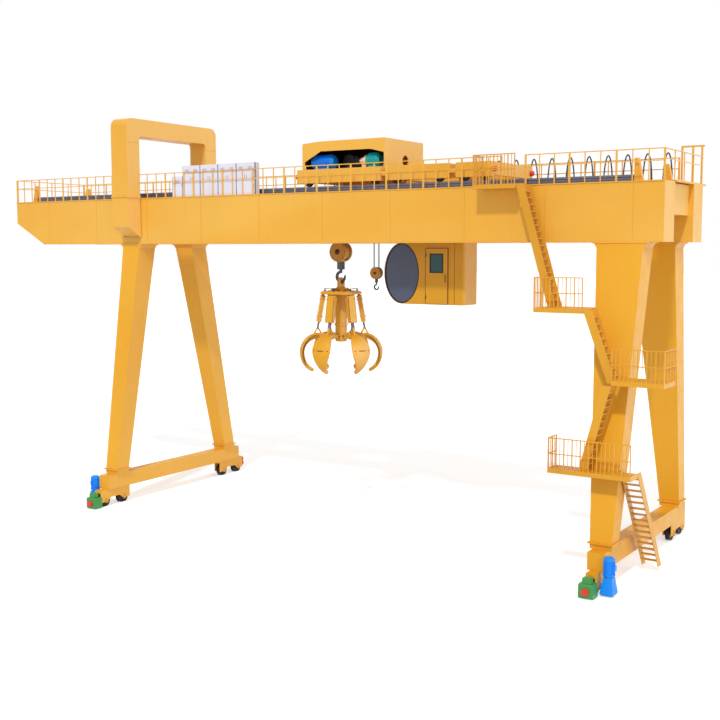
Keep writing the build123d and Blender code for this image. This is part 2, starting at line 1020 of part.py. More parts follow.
def trolley_house():
    """The winch house: a sheet hood with a wide opening in its near wall and a round vent."""
    x = house_x
    base = beam_top + seat
    outline = [
        (x[0], base),
        (x[1], base),
        (x[1], beam_top + house_eave + house_rise),
        (x[0] + house_shoulder, beam_top + house_eave + house_rise),
        (x[0], beam_top + house_eave),
    ]
    wall = house_wall
    hollow = [
        (x[0] + wall, base - 1),
        (x[1] - wall, base - 1),
        (x[1] - wall, beam_top + house_eave + house_rise - wall),
        (x[0] + house_shoulder, beam_top + house_eave + house_rise - wall),
        (x[0] + wall, beam_top + house_eave - wall),
    ]
    half = house_depth / 2
    hood = prism_xz(outline, (-half, half)) - prism_xz(hollow, (-half + wall, half - wall))
    opening = [(x[0] + px, beam_top + pz) for px, pz in house_opening]
    hood -= prism_xz(opening, (-half - 1, -half + wall + 1))
    vent = round_bar(
        (x[1] - wall - 1, house_vent_y, beam_top + house_vent_level),
        (x[1] + 1, house_vent_y, beam_top + house_vent_level),
        house_vent_radius,
    )
    return hood - vent


def hoist_motors():
    """The main hoist's ribbed motor and the auxiliary hoist's smaller one, on their feet."""
    solids = []
    for x, y, radius, length in hoist_motor_places:
        level = beam_top + seat + radius + motor_foot
        body = disc(radius, -length / 2, length / 2)
        ends = body.edges().group_by(Axis.Z)
        body = Pos(x, y, level) * Rot(0, 90, 0) * chamfer(ends[0] + ends[-1], radius * 0.3)
        foot = block(
            (x - length * 0.3, x + length * 0.3),
            (y - radius * 0.7, y + radius * 0.7),
            (beam_top + seat, level - radius * 0.6),
        )
        solids.append(body + foot)
    return solids


def hoist_drums():
    """The main rope drum on its pedestals, its gear case, and the auxiliary drum with its cone."""
    radius = drum_radius
    level = beam_top + seat + radius + drum_clearance
    x = drum_x
    drum = round_bar((x, drum_y[0], level), (x, drum_y[1], level), radius)
    for y in (drum_y[0], drum_y[1]):
        drum += round_bar((x, y - 20, level), (x, y + 20, level), radius * 1.15)
        drum += block((x - 60, x + 60), (y - 60, y - 20), (beam_top + seat, level))
    case_y = (drum_y[1] + 60, drum_y[1] + 420)
    case = block((x - radius * 1.1, x + radius * 1.5), case_y, (beam_top + seat, level + radius * 0.9))
    case = chamfer(case.edges().filter_by(Axis.Y).group_by(Axis.Z)[-1], radius * 0.4)
    aux_x, aux_y, aux_radius, aux_length = hoist_motor_places[1]
    aux_level = beam_top + seat + aux_radius + motor_foot
    cone_end = aux_x - aux_length / 2 - seat
    cone = extrude(RegularPolygon(aux_radius * 0.85, round_sides), amount=cone_length, taper=cone_taper)
    cone = Pos(cone_end, aux_y, aux_level) * Rot(0, -90, 0) * cone
    rest = block(
        (cone_end - cone_length * 0.6, cone_end - cone_length * 0.2),
        (aux_y - 60, aux_y + 60),
        (beam_top + seat, aux_level),
    )
    aux_drum = round_bar(
        (aux_hook_x - 230, aux_drum_y, beam_top + aux_drum_level),
        (aux_hook_x + 230, aux_drum_y, beam_top + aux_drum_level),
        aux_drum_radius,
    )
    stand = block(
        (aux_hook_x - 200, aux_hook_x + 200),
        (aux_drum_y + 30, aux_drum_y + 90),
        (beam_top + seat, beam_top + aux_drum_level),
    )
    return [drum, case, cone + rest, aux_drum + stand]


# Operator's cab under the trolley
def oval_points(inset, first, last):
    """Chords of the oval at the cab's nose, between two of its corners counted from the back."""
    nose_x = cab_x[0] + cab_nose_half_width
    middle = cab_bottom + cab_height / 2
    half_width = cab_nose_half_width - inset
    half_height = cab_height / 2 - inset
    angles = [2 * pi * step / oval_chords for step in range(first, last)]
    return [(nose_x + half_width * cos(a), middle + half_height * sin(a)) for a in angles]


def cab_profile(inset, half):
    """The cab's body: half an oval at the nose and a square back, as wide as twice a half width."""
    quarter = oval_chords // 4
    back = cab_x[1] - inset
    corners = [(back, cab_bottom + inset), (back, cab_bottom + cab_height - inset)]
    return prism_xz(oval_points(inset, quarter, 3 * quarter + 1) + corners, (-half, half))


def cab_oval(inset, y):
    return prism_xz(oval_points(inset, 0, oval_chords), y)


def nose_window(margin):
    nose_x = cab_x[0] + cab_nose_half_width
    reach = cab_depth / 2 - cab_wall - cab_rim - margin
    middle = cab_bottom + cab_height / 2
    height = cab_height * nose_window_share / 2 - margin
    return block((cab_x[0] - 1, nose_x), (-reach, reach), (middle - height, middle + height))


def cab_shell():
    """A hollow cab with an oval window in each side, a curved nose window and a door opening."""
    half = cab_depth / 2
    shell = cab_profile(0, half)
    rear = shell.edges().filter_by(Axis.Z).group_by(Axis.X)[-1]
    shell = fillet(rear, cab_corner_radius)
    shell -= cab_profile(cab_wall, half - cab_wall)
    shell -= cab_oval(cab_rim, (-half - 1, half + 1))
    shell -= nose_window(0)
    door = block(
        (cab_door_x[0] + cab_door_lap, cab_door_x[1] - cab_door_lap),
        (-half - 1, -half + cab_wall + 1),
        (
            cab_bottom + cab_door_sill + cab_door_lap,
            cab_bottom + cab_door_sill + cab_door_height - cab_door_lap,
        ),
    )
    return shell - door


def cab_door():
    """The door leaf, closed against the cab's side, with a window."""
    face = -cab_depth / 2 - seat
    y = (face - cab_door_thickness, face)
    level = (cab_bottom + cab_door_sill, cab_bottom + cab_door_sill + cab_door_height)
    leaf = block(cab_door_x, y, level)
    return leaf - block(cab_window_x, (y[0] - 1, y[1] + 1), cab_window_z)


def cab_windows():
    half = cab_depth / 2
    front = -half + cab_wall / 2
    near = cab_oval(cab_rim + seat, (front, front + glass_thickness))
    nose = cab_profile(cab_wall * 0.3, half)
    nose -= cab_profile(cab_wall * 0.3 + glass_thickness, half + 1)
    nose &= nose_window(seat)
    face = -half - seat - cab_door_thickness / 2
    pane = block(
        (cab_window_x[0] + seat, cab_window_x[1] - seat),
        (face - glass_thickness / 2, face + glass_thickness / 2),
        (cab_window_z[0] + seat, cab_window_z[1] - seat),
    )
    return [near, across_y(near), nose, pane]


def cab_hanger():
    """Four posts and a ring that hang the cab from the trolley's second frame."""
    top = beam_bottom + cross_lift - seat
    bottom = cab_bottom + cab_height + seat
    xs = (second_x[0] + cross_depth / 2, second_x[1] - cross_depth / 2)
    reach = cab_depth / 2 - hanger_size
    half = hanger_size / 2
    between_x = (xs[0] + half + seat, xs[1] - half - seat)
    between_y = (-reach + half + seat, reach - half - seat)
    brace_half = hanger_size * 0.4
    solids = []
    for y in (-reach, reach):
        y_span = (y - half, y + half)
        solids += [block((x - half, x + half), y_span, (bottom, top)) for x in xs]
        solids.append(block(between_x, y_span, (bottom, bottom + hanger_size)))
        low = bottom + hanger_brace_inset
        high = top - hanger_brace_inset
        brace = [
            (between_x[0], low - brace_half),
            (between_x[1], high - brace_half),
            (between_x[1], high + brace_half),
            (between_x[0], low + brace_half),
        ]
        solids.append(prism_xz(brace, (y - brace_half, y + brace_half)))
    for x in xs:
        x_span = (x - half, x + half)
        solids.append(block(x_span, between_y, (bottom, bottom + hanger_size)))
        solids.append(block(x_span, between_y, (top - hanger_size, top)))
    return solids


# Hooks and ropes
def hook_block(x, level, radius, width, shank):
    """Two cheeks around the sheaves, and a cylinder below that carries the hook's shank."""
    cheek = width * 0.16
    cheeks = round_bar((x, -width / 2, level), (x, -width / 2 + cheek, level), radius)
    cheeks += round_bar((x, width / 2 - cheek, level), (x, width / 2, level), radius)
    sheaves = radius * sheave_share
    core = round_bar((x, -width / 2, level), (x, width / 2, level), sheaves, sheave_sides)
    reach = width / 2 + radius * 0.1
    cap = round_bar((x, -reach, level), (x, reach, level), radius * 0.28)
    block_solid = cheeks + core + cap
    neck_top = level - radius * 0.7
    return block_solid + Pos(x, 0, 0) * disc(shank[2], shank[0], neck_top)


def hook(x, top, centre, throat, section, shank):
    """A forged hook: a collar, a stem and a bowl that turns from the stem round to the tip."""
    ring = throat + section / 2
    angles = [radians(hook_sweep * step / hook_chords) for step in range(hook_chords + 1)]
    line = [(x - ring * sin(angle), 0, centre + ring * cos(angle)) for angle in angles]
    face = Plane(origin=line[0], z_dir=(-1, 0, 0)) * RegularPolygon(section / 2, hook_sides)
    bowl = sweep(face, path=Polyline(*line), transition=Transition.RIGHT)
    nut = disc(shank[1], shank[0], top, pin_sides)
    stem = disc(section * 0.48, centre + ring - section * 0.3, shank[0], pin_sides)
    return Pos(x, 0, 0) * (nut + stem) + bowl


def ropes(x, spread, across, level, radius):
    """Rope strands from the top of a block's sheaves up to the trolley's deck."""
    inner_edge = (spread - rope_size) / 2
    low = level + ((radius * sheave_share) ** 2 - inner_edge**2) ** 0.5 + seat
    solids = []
    for dx in (-spread / 2, spread / 2):
        for dy in across:
            solids.append(bar((x + dx, dy, low), (x + dx, dy, beam_top - seat), rope_size))
    return solids


# Orange peel grab
def turned(solid, index):
    """Carry a piece modelled in the X and Z plane round to one of the grab's six places."""
    angle = first_tine_angle + index * tine_step
    return Pos(main_hook_x, 0, 0) * Rot(0, 0, angle) * solid


def pivot_pin(half_length, radius):
    """A round pin on the axis that a claw turns about, or the hole that takes it."""
    return Pos(tine_pivot_radius, 0, tine_pivot_level) * Rot(90, 0, 0) * Cylinder(radius, 2 * half_length)


def grab_head():
    """The column with its hanging eye, its collar and six forked lugs that carry the tines."""
    half_collar = grab_collar_height / 2
    column = disc(grab_column_radius, grab_column_bottom, grab_column_top)
    ends = column.edges().group_by(Axis.Z)
    column = chamfer(ends[0] + ends[-1], grab_column_chamfer)
    collar = disc(grab_collar_radius, grab_collar_level - half_collar, grab_collar_level + half_collar)
    collar = chamfer(collar.edges().group_by(Axis.Z)[-1], half_collar)
    band = disc(grab_column_radius + grab_band_lip, grab_band_level, grab_band_level + grab_band_height)
    body = Pos(main_hook_x, 0, 0) * (column + collar + band)
    eye_top = main_hook_centre - (hook_throat**2 - lug_thickness**2 / 4) ** 0.5 + lug_lift
    eye_radius = hook_section / 2 + lug_play
    eye_centre = eye_top - eye_radius
    arch = eye_radius + lug_wall
    eye_place = Pos(main_hook_x, 0, eye_centre) * Rot(0, 90, 0)
    half_lug = lug_thickness / 2
    lug = eye_place * disc(arch, -half_lug, half_lug)
    lug += block(
        (main_hook_x - half_lug, main_hook_x + half_lug),
        (-arch, arch),
        (grab_column_top - 30, eye_centre),
    )
    lug -= eye_place * disc(eye_radius, -half_lug - 1, half_lug + 1)
    pieces = [lug]
    for index in range(tine_count):
        for side in (-1, 1):
            near = side * (tine_arm_width / 2 + fork_play)
            far = side * (tine_arm_width / 2 + fork_play + fork_plate)
            ear = block(
                (grab_column_radius * 0.6, tine_pivot_radius),
                sorted((near, far)),
                (tine_pivot_level - fork_reach, tine_pivot_level + fork_reach),
            )
            ear += round_bar(
                (tine_pivot_radius, near, tine_pivot_level),
                (tine_pivot_radius, far, tine_pivot_level),
                fork_reach,
                pin_sides,
            )
            pieces.append(turned(ear, index))
        reach = tine_arm_width / 2 + fork_play + fork_plate
        pieces.append(turned(pivot_pin(reach, tine_pin_radius), index))
    return body.fuse(*pieces)


def grab_cylinders():
    """Six hollow covers that lean outwards and house the cylinder rods."""
    length = (cover_top - cover_bottom) / cos(radians(cover_slant))
    outer = Box(cover_depth, cover_width, length)
    outer = chamfer(outer.edges().filter_by(Axis.Z), cover_corner)
    hollow = Pos(0, 0, -cover_cap) * Box(
        cover_depth - 2 * cover_wall, cover_width - 2 * cover_wall, length
    )
    cover = Pos(0, 0, -length / 2) * (outer - hollow)
    cover = Pos(cover_top_radius, 0, cover_top) * Rot(0, -cover_slant, 0) * cover
    collar_bottom = grab_collar_level - grab_collar_height / 2 - seat
    ear = block(
        (cover_top_radius - 60, cover_top_radius + 60),
        (-50, 50),
        (cover_top - cover_cap / 2, collar_bottom),
    )
    whole = cover + ear
    return [turned(whole, index) for index in range(tine_count)]


def tine():
    """One claw: an arm from its pivot, and a pointed shell bent round an arc, with a rib inside."""
    cx, cz = tine_arc_centre
    half_root = tine_thickness / 2
    half_tip = tine_tip_thickness / 2
    shares = [step / tine_chords for step in range(tine_chords + 1)]

    def on_arc(share, offset):
        """A point along the claw's arc, from its root to its tip, off the arc's middle line."""
        angle = pi / 2 + (radians(tine_tip_angle) - pi / 2) * share
        radius = tine_arc_radius + offset
        stretch = tine_drop if angle < 0 else 1
        return cx + radius * cos(angle), cz + radius * stretch * sin(angle)

    def half_thickness(share):
        return half_root + (half_tip - half_root) * share**2

    outer_line = [on_arc(share, half_thickness(share)) for share in shares]
    inner_line = [on_arc(share, -half_thickness(share)) for share in reversed(shares)]
    shell_line = [on_arc(share, half_thickness(share) - tine_shell) for share in reversed(shares)]
    eye = tine_eye_radius
    arm = [(tine_pivot_radius, tine_pivot_level - eye), (tine_pivot_radius, tine_pivot_level + eye)]
    half_rib = tine_rib_width / 2
    rib = prism_xz(outer_line + inner_line + arm, (-half_rib, half_rib))
    shell = prism_xz(outer_line + shell_line, (-tine_flat_half, tine_flat_half))
    lean = radians(tine_wing_angle)
    for way in (-1, 1):
        corners = [(px, way * tine_flat_half, pz) for px, pz in outer_line + shell_line]
        wing = make_face(Polyline(*corners, close=True))
        shell += extrude(wing, amount=tine_half_width, dir=(-sin(lean), way * cos(lean), 0))
    top = outer_line[0][1]
    low = outer_line[-1][1]
    edge = []
    for share in shares:
        half_width = tine_half_width * sin(pi * (0.05 + 0.95 * share) ** tine_leaf_power)
        edge.append((max(half_width, half_tip / 2), top + 10 - (top - low + 20) * share))
    other_edge = [(-half_width, level) for half_width, level in reversed(edge)]
    leaf = prism_yz(edge + other_edge, (0, 2 * (cx + tine_arc_radius)))
    shell &= leaf
    rib &= leaf + block((0, cx), (-tine_rib_width, tine_rib_width), (cz, top + 20))
    claw = shell + rib
    arm_cut = block(
        (0, cx - tine_shoulder),
        (tine_arm_width / 2, tine_rib_width),
        (cz, top + 20),
    )
    claw -= arm_cut
    claw -= across_y(arm_cut)
    eye_solid = round_bar(
        (tine_pivot_radius, -tine_arm_width / 2, tine_pivot_level),
        (tine_pivot_radius, tine_arm_width / 2, tine_pivot_level),
        eye,
        pin_sides,
    )
    claw += eye_solid
    apex = (tine_pivot_radius + rod_pin_offset[0], 0, tine_pivot_level + rod_pin_offset[1])
    for way in (-1, 1):
        foot = (apex[0] + way * lug_spread, 0, top - 40)
        claw += bar(foot, apex, bracket_thickness, bracket_thickness)
    claw += round_bar(
        (apex[0], -bracket_thickness / 2, apex[2]),
        (apex[0], bracket_thickness / 2, apex[2]),
        bracket_thickness * 0.62,
        pin_sides,
    )
    return claw - pivot_pin(tine_rib_width, tine_pin_radius + seat)


def rod_path():
    """Where a rod's pin stands at rest and with the grab closed, as radius and height."""
    reach = hypot(*rod_pin_offset)
    start = atan2(rod_pin_offset[1], rod_pin_offset[0])
    end = start - radians(grab_close_angle)
    return [
        (tine_pivot_radius + reach * cos(a), tine_pivot_level + reach * sin(a)) for a in (start, end)
    ]


def cylinder_rod():
    """A rod in line with its stroke, with a forked end that straddles the tine's bracket."""
    rest, closed = rod_path()
    stroke = hypot(closed[0] - rest[0], closed[1] - rest[1])
    way = ((closed[0] - rest[0]) / stroke, (closed[1] - rest[1]) / stroke)

    def along(distance, y):
        return (rest[0] + way[0] * distance, y, rest[1] + way[1] * distance)

    rod = round_bar(along(-rod_length, 0), along(-rod_crown, 0), rod_radius, pin_sides)
    inner = bracket_thickness / 2 + seat
    outer = inner + fork_plate
    crown = bar(along(-rod_crown - 30, 0), along(-rod_crown, 0), 2 * outer, rod_radius * 2)
    pieces = [crown]
    for side in (-1, 1):
        middle = side * (inner + outer) / 2
        cheek = bar(along(-rod_crown - 1, middle), along(rod_radius, middle), fork_plate, rod_radius * 2)
        pieces.append(cheek)
    return rod.fuse(*pieces)


def end_platform():
    """The landing at the right end, with its own railing and the tall frame at its far corner."""
    x = (girder_right - platform_depth, girder_right)
    base = girder_top + seat
    deck = block(x, platform_y, (base, base + platform_thickness))
    pieces = []
    for post_x in tall_posts_x:
        pieces.append(
            block(
                (post_x - post_size / 2, post_x + post_size / 2),
                (tall_frame_y - post_size / 2, tall_frame_y + post_size / 2),
                (base, girder_top + tall_frame_height),
            )
        )
    pieces.append(
        block(
            (x[0], x[1]),
            (tall_frame_y - post_size / 2, tall_frame_y + post_size / 2),
            (girder_top + tall_frame_height - post_size, girder_top + tall_frame_height),
        )
    )
    pieces.append(
        block(
            (x[0], x[0] + post_size),
            (tall_frame_y - post_size / 2, tall_frame_y + post_size / 2),
            (base, girder_top + tall_frame_height),
        )
    )
    return deck.fuse(*pieces)


def keep(name, solids):
    """Write one named piece, made of one or more solids that don't touch."""
    solids = solids if isinstance(solids, list) else [solids]
    whole = solids[0] if len(solids) == 1 else Compound(children=solids)
    export_step(whole, f"parts/{name}.step")


def main():
    os.makedirs("parts", exist_ok=True)
    rigid = (span / 2, (rigid_top_width, rigid_foot_width), rigid_top_shift)
    flexible = (-span / 2, (flexible_top_width, flexible_foot_width), flexible_top_shift)
    keep("front_girder", girder(-1))
    keep("rear_girder", girder(1))
    keep("end_ties", end_ties())
    keep("trolley_rails", trolley_rails())
    keep("rail_stops", rail_stops())
    keep("portal_frame", portal_frame())
    keep("portal_brackets", portal_brackets())
    keep("front_right_leg", leg(*rigid, -1))
    keep("rear_right_leg", leg(*rigid, 1))
    keep("front_left_leg", leg(*flexible, -1))
    keep("rear_left_leg", leg(*flexible, 1))
    keep("sill_beams", [sill(-span / 2), sill(span / 2)])
    bogies = []
    for centre in (-span / 2, span / 2):
        bogies += both_sides(bogie(centre))
    keep("bogie_frames", bogies)
    keep("ground_wheels", wheels())
    keep("travel_reducers", travel_reducers())
    keep("travel_motors", travel_motors())
    keep("rail_clamps", rail_clamps())
    keep("ground_buffers", ground_buffers())
    keep("front_handrail", front_handrail())
    keep("rear_handrail", rear_handrail())
    keep("end_railings", end_railings())
    keep("end_platform", end_platform())
    keep("electrical_cabinets", electrical_cabinets())
    for name, solids in flights().items():
        keep(name, solids)
    keep("stair_landings", landings())
    keep("festoon_cable", festoon_cable())
    keep("trolley_frame", trolley_frame())
    keep("trolley_wheels", trolley_wheels())
    keep("trolley_buffers", trolley_buffers())
    keep("trolley_house", trolley_house())
    keep("hoist_motors", hoist_motors())
    keep("hoist_drums", hoist_drums())
    keep("cab_hanger", cab_hanger())
    keep("cab_shell", cab_shell())
    keep("cab_door", cab_door())
    keep("cab_windows", cab_windows())
    keep("main_ropes", ropes(main_hook_x, main_rope_spread * 2, (-90, 90), block_level, block_radius))
    shank = (shank_top, 0, shank_radius)
    keep("hook_block", hook_block(main_hook_x, block_level, block_radius, block_width, shank))
    nut = (shank_bottom, shank_radius * 0.9)
    keep("main_hook", hook(main_hook_x, shank_top - seat, main_hook_centre, hook_throat, hook_section, nut))
    keep("grab_head", grab_head())
    keep("grab_cylinders", grab_cylinders())
    claw = tine()
    rod = cylinder_rod()
    for index in range(tine_count):
        keep(f"tine_{index + 1}", turned(claw, index))
        keep(f"cylinder_rod_{index + 1}", turned(rod, index))
    keep("aux_ropes", ropes(aux_hook_x, aux_rope_spread, (0,), aux_block_level, aux_block_radius))
    aux_shank = (aux_shank_top, 0, aux_shank_radius)
    keep("aux_block", hook_block(aux_hook_x, aux_block_level, aux_block_radius, aux_block_width, aux_shank))
    aux_nut = (aux_shank_bottom, aux_shank_radius * 0.8)
    keep(
        "aux_hook",
        hook(aux_hook_x, aux_shank_top - seat, aux_hook_centre, aux_hook_throat, aux_hook_section, aux_nut),
    )


main()
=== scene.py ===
import math
import bmesh
import bpy
from mathutils import Matrix, Vector


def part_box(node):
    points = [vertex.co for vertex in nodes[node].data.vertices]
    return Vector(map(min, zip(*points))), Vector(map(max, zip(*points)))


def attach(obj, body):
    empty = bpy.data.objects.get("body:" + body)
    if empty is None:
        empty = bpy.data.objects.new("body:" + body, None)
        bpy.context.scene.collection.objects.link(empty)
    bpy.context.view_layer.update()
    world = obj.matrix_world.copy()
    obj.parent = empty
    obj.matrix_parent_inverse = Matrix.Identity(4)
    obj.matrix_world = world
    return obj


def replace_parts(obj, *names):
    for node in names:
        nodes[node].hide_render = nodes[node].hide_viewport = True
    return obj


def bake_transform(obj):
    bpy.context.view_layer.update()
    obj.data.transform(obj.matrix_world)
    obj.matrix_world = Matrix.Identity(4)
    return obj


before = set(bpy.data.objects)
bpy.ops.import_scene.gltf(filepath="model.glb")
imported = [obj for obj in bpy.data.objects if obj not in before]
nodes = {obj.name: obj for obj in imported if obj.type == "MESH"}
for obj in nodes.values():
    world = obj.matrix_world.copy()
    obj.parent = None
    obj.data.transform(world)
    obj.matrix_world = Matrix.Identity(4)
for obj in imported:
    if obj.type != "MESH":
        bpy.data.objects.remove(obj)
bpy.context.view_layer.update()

# Sizes in metres, in the frame of the crane, as in its solids
GIRDER_X = (-17.645, 11.525)
GIRDER_Z = (10.53, 12.39)
GIRDER_OUTER = 2.021
GIRDER_INNER = 0.976
FLANGE_LIP = 0.025
CHAMFER_END = -15.945
SEAM_PITCH = 2.9
BEAD_HALF, BEAD_HEIGHT = 0.006, 0.003
PORTAL_X = -10.515
PORTAL_HALF = 0.44
PORTAL_OUTER = GIRDER_OUTER + 0.70
PORTAL_SEAMS = (12.43, 14.60)
PORTAL_FLANGE_Z = (12.398, 12.462)
GROUND_X = (-10.38, 10.38)
LEG_FLANGE_Z = (10.494, 10.529)
LEG_HEADS = ((GROUND_X[1] - 0.205, 0.86), (GROUND_X[0] - 0.255, 0.57))
FOOT_WIDTHS = (0.64, 0.70)
FOOT_Y = (3.021, 3.671)
FOOT_Z = 1.43
FOOT_MARGIN = 0.03
WHEEL_RADIUS = 0.25
WHEELS = [(x, side * y) for x in GROUND_X for side in (-1, 1) for y in (3.15, 4.15)]
BOGIE_HALF_WIDTH = 0.16
DRIVES = ((GROUND_X[0] - 0.46, -4.15), (GROUND_X[1] + 0.46, -4.15))
DRIVE_FINS_Z = (0.69, 1.075)
DRIVE_FINS_RADIUS = 0.162624

TROLLEY_WHEELS_X = (-1.975, 0.925, 1.825, 3.535, 4.525, 5.265)
TROLLEY_AXLE_Z = 12.7803
TROLLEY_BUFFER_Z = 12.98
TRACK_Y = 1.4985
# Where the winch house's painted shade lies: a box inside its walls, below a limit that follows
# the roof's slope
HOUSE_BOUNDS = ((-2.36, 1.21), (-1.36, 1.36), (12.9, 14.245))
HOUSE_SLOPE, HOUSE_LIMIT = 0.08, 14.375
MAIN_MOTOR = (-1.65, -0.96, 13.5253)
AUX_MOTOR = (0.56, -0.96, 13.5203)
GEAR_CONE = (0.2797, -0.96, 13.5203)
DRUM_X, DRUM_Z = -0.815, 13.5303
DRUM_FLANGES_Y = (-0.56, 0.64)
VENT_Y, VENT_Z = 0.07, 13.515

CABINET_START, CABINET_PITCH, CABINET_GAP = -7.825, 0.912, 0.016
LOW_CABINET_WIDTH = 0.55
CABINET_HEIGHT, LOW_CABINET_HEIGHT = 1.20, 0.80
HOOP_COUNT, HOOP_START, HOOP_PITCH, HOOP_Y = 14, 1.40, 0.692, 1.80
HOOP_HALF_WIDTH, HOOP_HEIGHT, HOOP_RADIUS = 0.184, 1.137, 0.025

CABIN_X = (0.70, 4.00)
CABIN_Z = (8.33, 10.55)
CABIN_HALF = 0.535
CABIN_SEAM_X = (3.61, 3.63)
NOSE_HALF = 0.745
DOOR_X = (2.46, 3.36)
DOOR_Z = (8.37, 10.34)
DOOR_FACE = -0.5653
HANDLE_X, HINGE_X = 3.27, 2.475
PANE_X = (2.66, 3.15)
PANE_Y = (-0.5566, -0.5542)
PANE_Z = (9.50, 10.12)
PANE_GAP = 0.0003

HOOK_X, BLOCK_Z, HOOK_CENTRE = -1.585, 10.21, 9.26
AUX_X, AUX_BLOCK_Z, AUX_HOOK_CENTRE = 0.025, 9.42, 8.895
ROPE_TOP = 13.2297
ROPE_RADIUS, AUX_ROPE_RADIUS = 0.019, 0.024

PIVOT_RADIUS, PIVOT_Z = 0.30, 7.00
COVER_TOP, COVER_REACH, COVER_LEAN = 8.54, 0.69, 10.0
TINE_COUNT, FIRST_TINE = 6, 34.0
TINE_CENTRE = Vector((0.87, 0, 6.36))
TINE_RADIUS, TINE_HALF_THICKNESS, TINE_TAPER = 0.64, 0.105, 0.06
TINE_SWEEP, TINE_DROP, TINE_LOW = 162.0, 1.16, 5.6043
TINE_CHORDS, TINE_HALF_WIDTH, TINE_LEAF_POWER, TINE_TIP_HALF = 9, 0.385, 0.72, 0.0225
TINE_FLAT_HALF = 0.13
TINE_LEAN = math.tan(math.radians(14))
TINE_STEPS = 40

# Panels of the landings' railings: where each starts, which way it runs, and its length
LANDING_PANELS = (
    ((5.425, -2.706, 12.39), (1.0, 0.0), 1.5),
    ((5.44, -2.6907, 12.39), (0.0, 1.0), 0.6694),
    ((7.925, -3.375, 8.5), (1.0, 0.0), 1.615),
    ((7.94, -3.3597, 8.5), (0.0, 1.0), 0.6897),
    ((10.65, -3.835, 6.43), (1.0, 0.0), 1.6),
    ((12.235, -3.8197, 6.43), (0.0, 1.0), 1.0296),
    ((8.725, -3.935, 3.62), (1.0, 0.0), 2.625),
    ((8.74, -3.9197, 3.62), (0.0, 1.0), 0.6201),
)
LANDING_BAR_PITCH, LANDING_BAR_HALF, LANDING_BAR_HEIGHT = 0.255, 0.008, 0.935

# Colours, as they look in the photograph, in sRGB
YELLOW = (235, 180, 74)
AMBER = (230, 164, 36)
# Painted light: the pale that faces towards +X turn, standing for the light from that side
SIDE_LIGHT_PALE = (250, 206, 130)
BROWN = (128, 74, 40)
# Painted shade: the dark brown inside the winch house
HOUSE_INSIDE_SHADE = (84, 40, 22)
RAIN_STREAK = (170, 112, 40)
DUST = (190, 160, 120)
CABINET = (226, 224, 238)
SLATE = (74, 82, 104)
PANE = (30, 74, 76)
STEEL = (120, 122, 142)
FORGED = (92, 94, 104)
DARK = (46, 44, 48)
DRUM = (70, 66, 66)
RUBBER = (52, 54, 66)
BLUE = (6, 138, 244)
TEAL = (26, 178, 182)
GREEN = (62, 146, 74)
RED = (222, 52, 34)
CREAM = (246, 226, 196)
ROPE = (166, 166, 176)

# Light: the world, a sun from the front and a broad soft lamp from the right
WHITE = (1, 1, 1, 1)
AMBIENT = 0.54
LAMP_COLOUR = (1.0, 0.99, 0.97)
LAMPS = (
    ("sun", 1.6, (0.29, -1.0, 1.1), 4.0),
    ("side_light", 1.1, (1.0, -0.15, 0.4), 70.0),
)
FLOOR_REACH, FLOOR_GREY, FLOOR_GLOW = 400.0, 0.86, 0.42

# Camera, as fitted to the photograph
SENSOR = 36.0
FOCAL_PIXELS, PHOTO_PIXELS = 1093.4, 720
CAMERA_PLACE = (21.99, -34.81, 10.35)
CAMERA_PITCH, CAMERA_AZIMUTH, CAMERA_ROLL = -5.84, 33.12, -0.07


def linear(colour, gain=1.0):
    """An sRGB colour as the linear values that a shader takes."""
    values = []
    for channel in colour:
        c = channel / 255
        c = c / 12.92 if c <= 0.04045 else ((c + 0.055) / 1.055) ** 2.4
        values.append(min(1.0, c * gain))
    return (*values, 1.0)


# Materials
def fill(node, **values):
    """Sets a node's sockets by their names, with an underscore for each space."""
    for name, value in values.items():
        node.inputs[name.replace("_", " ")].default_value = value
    return node


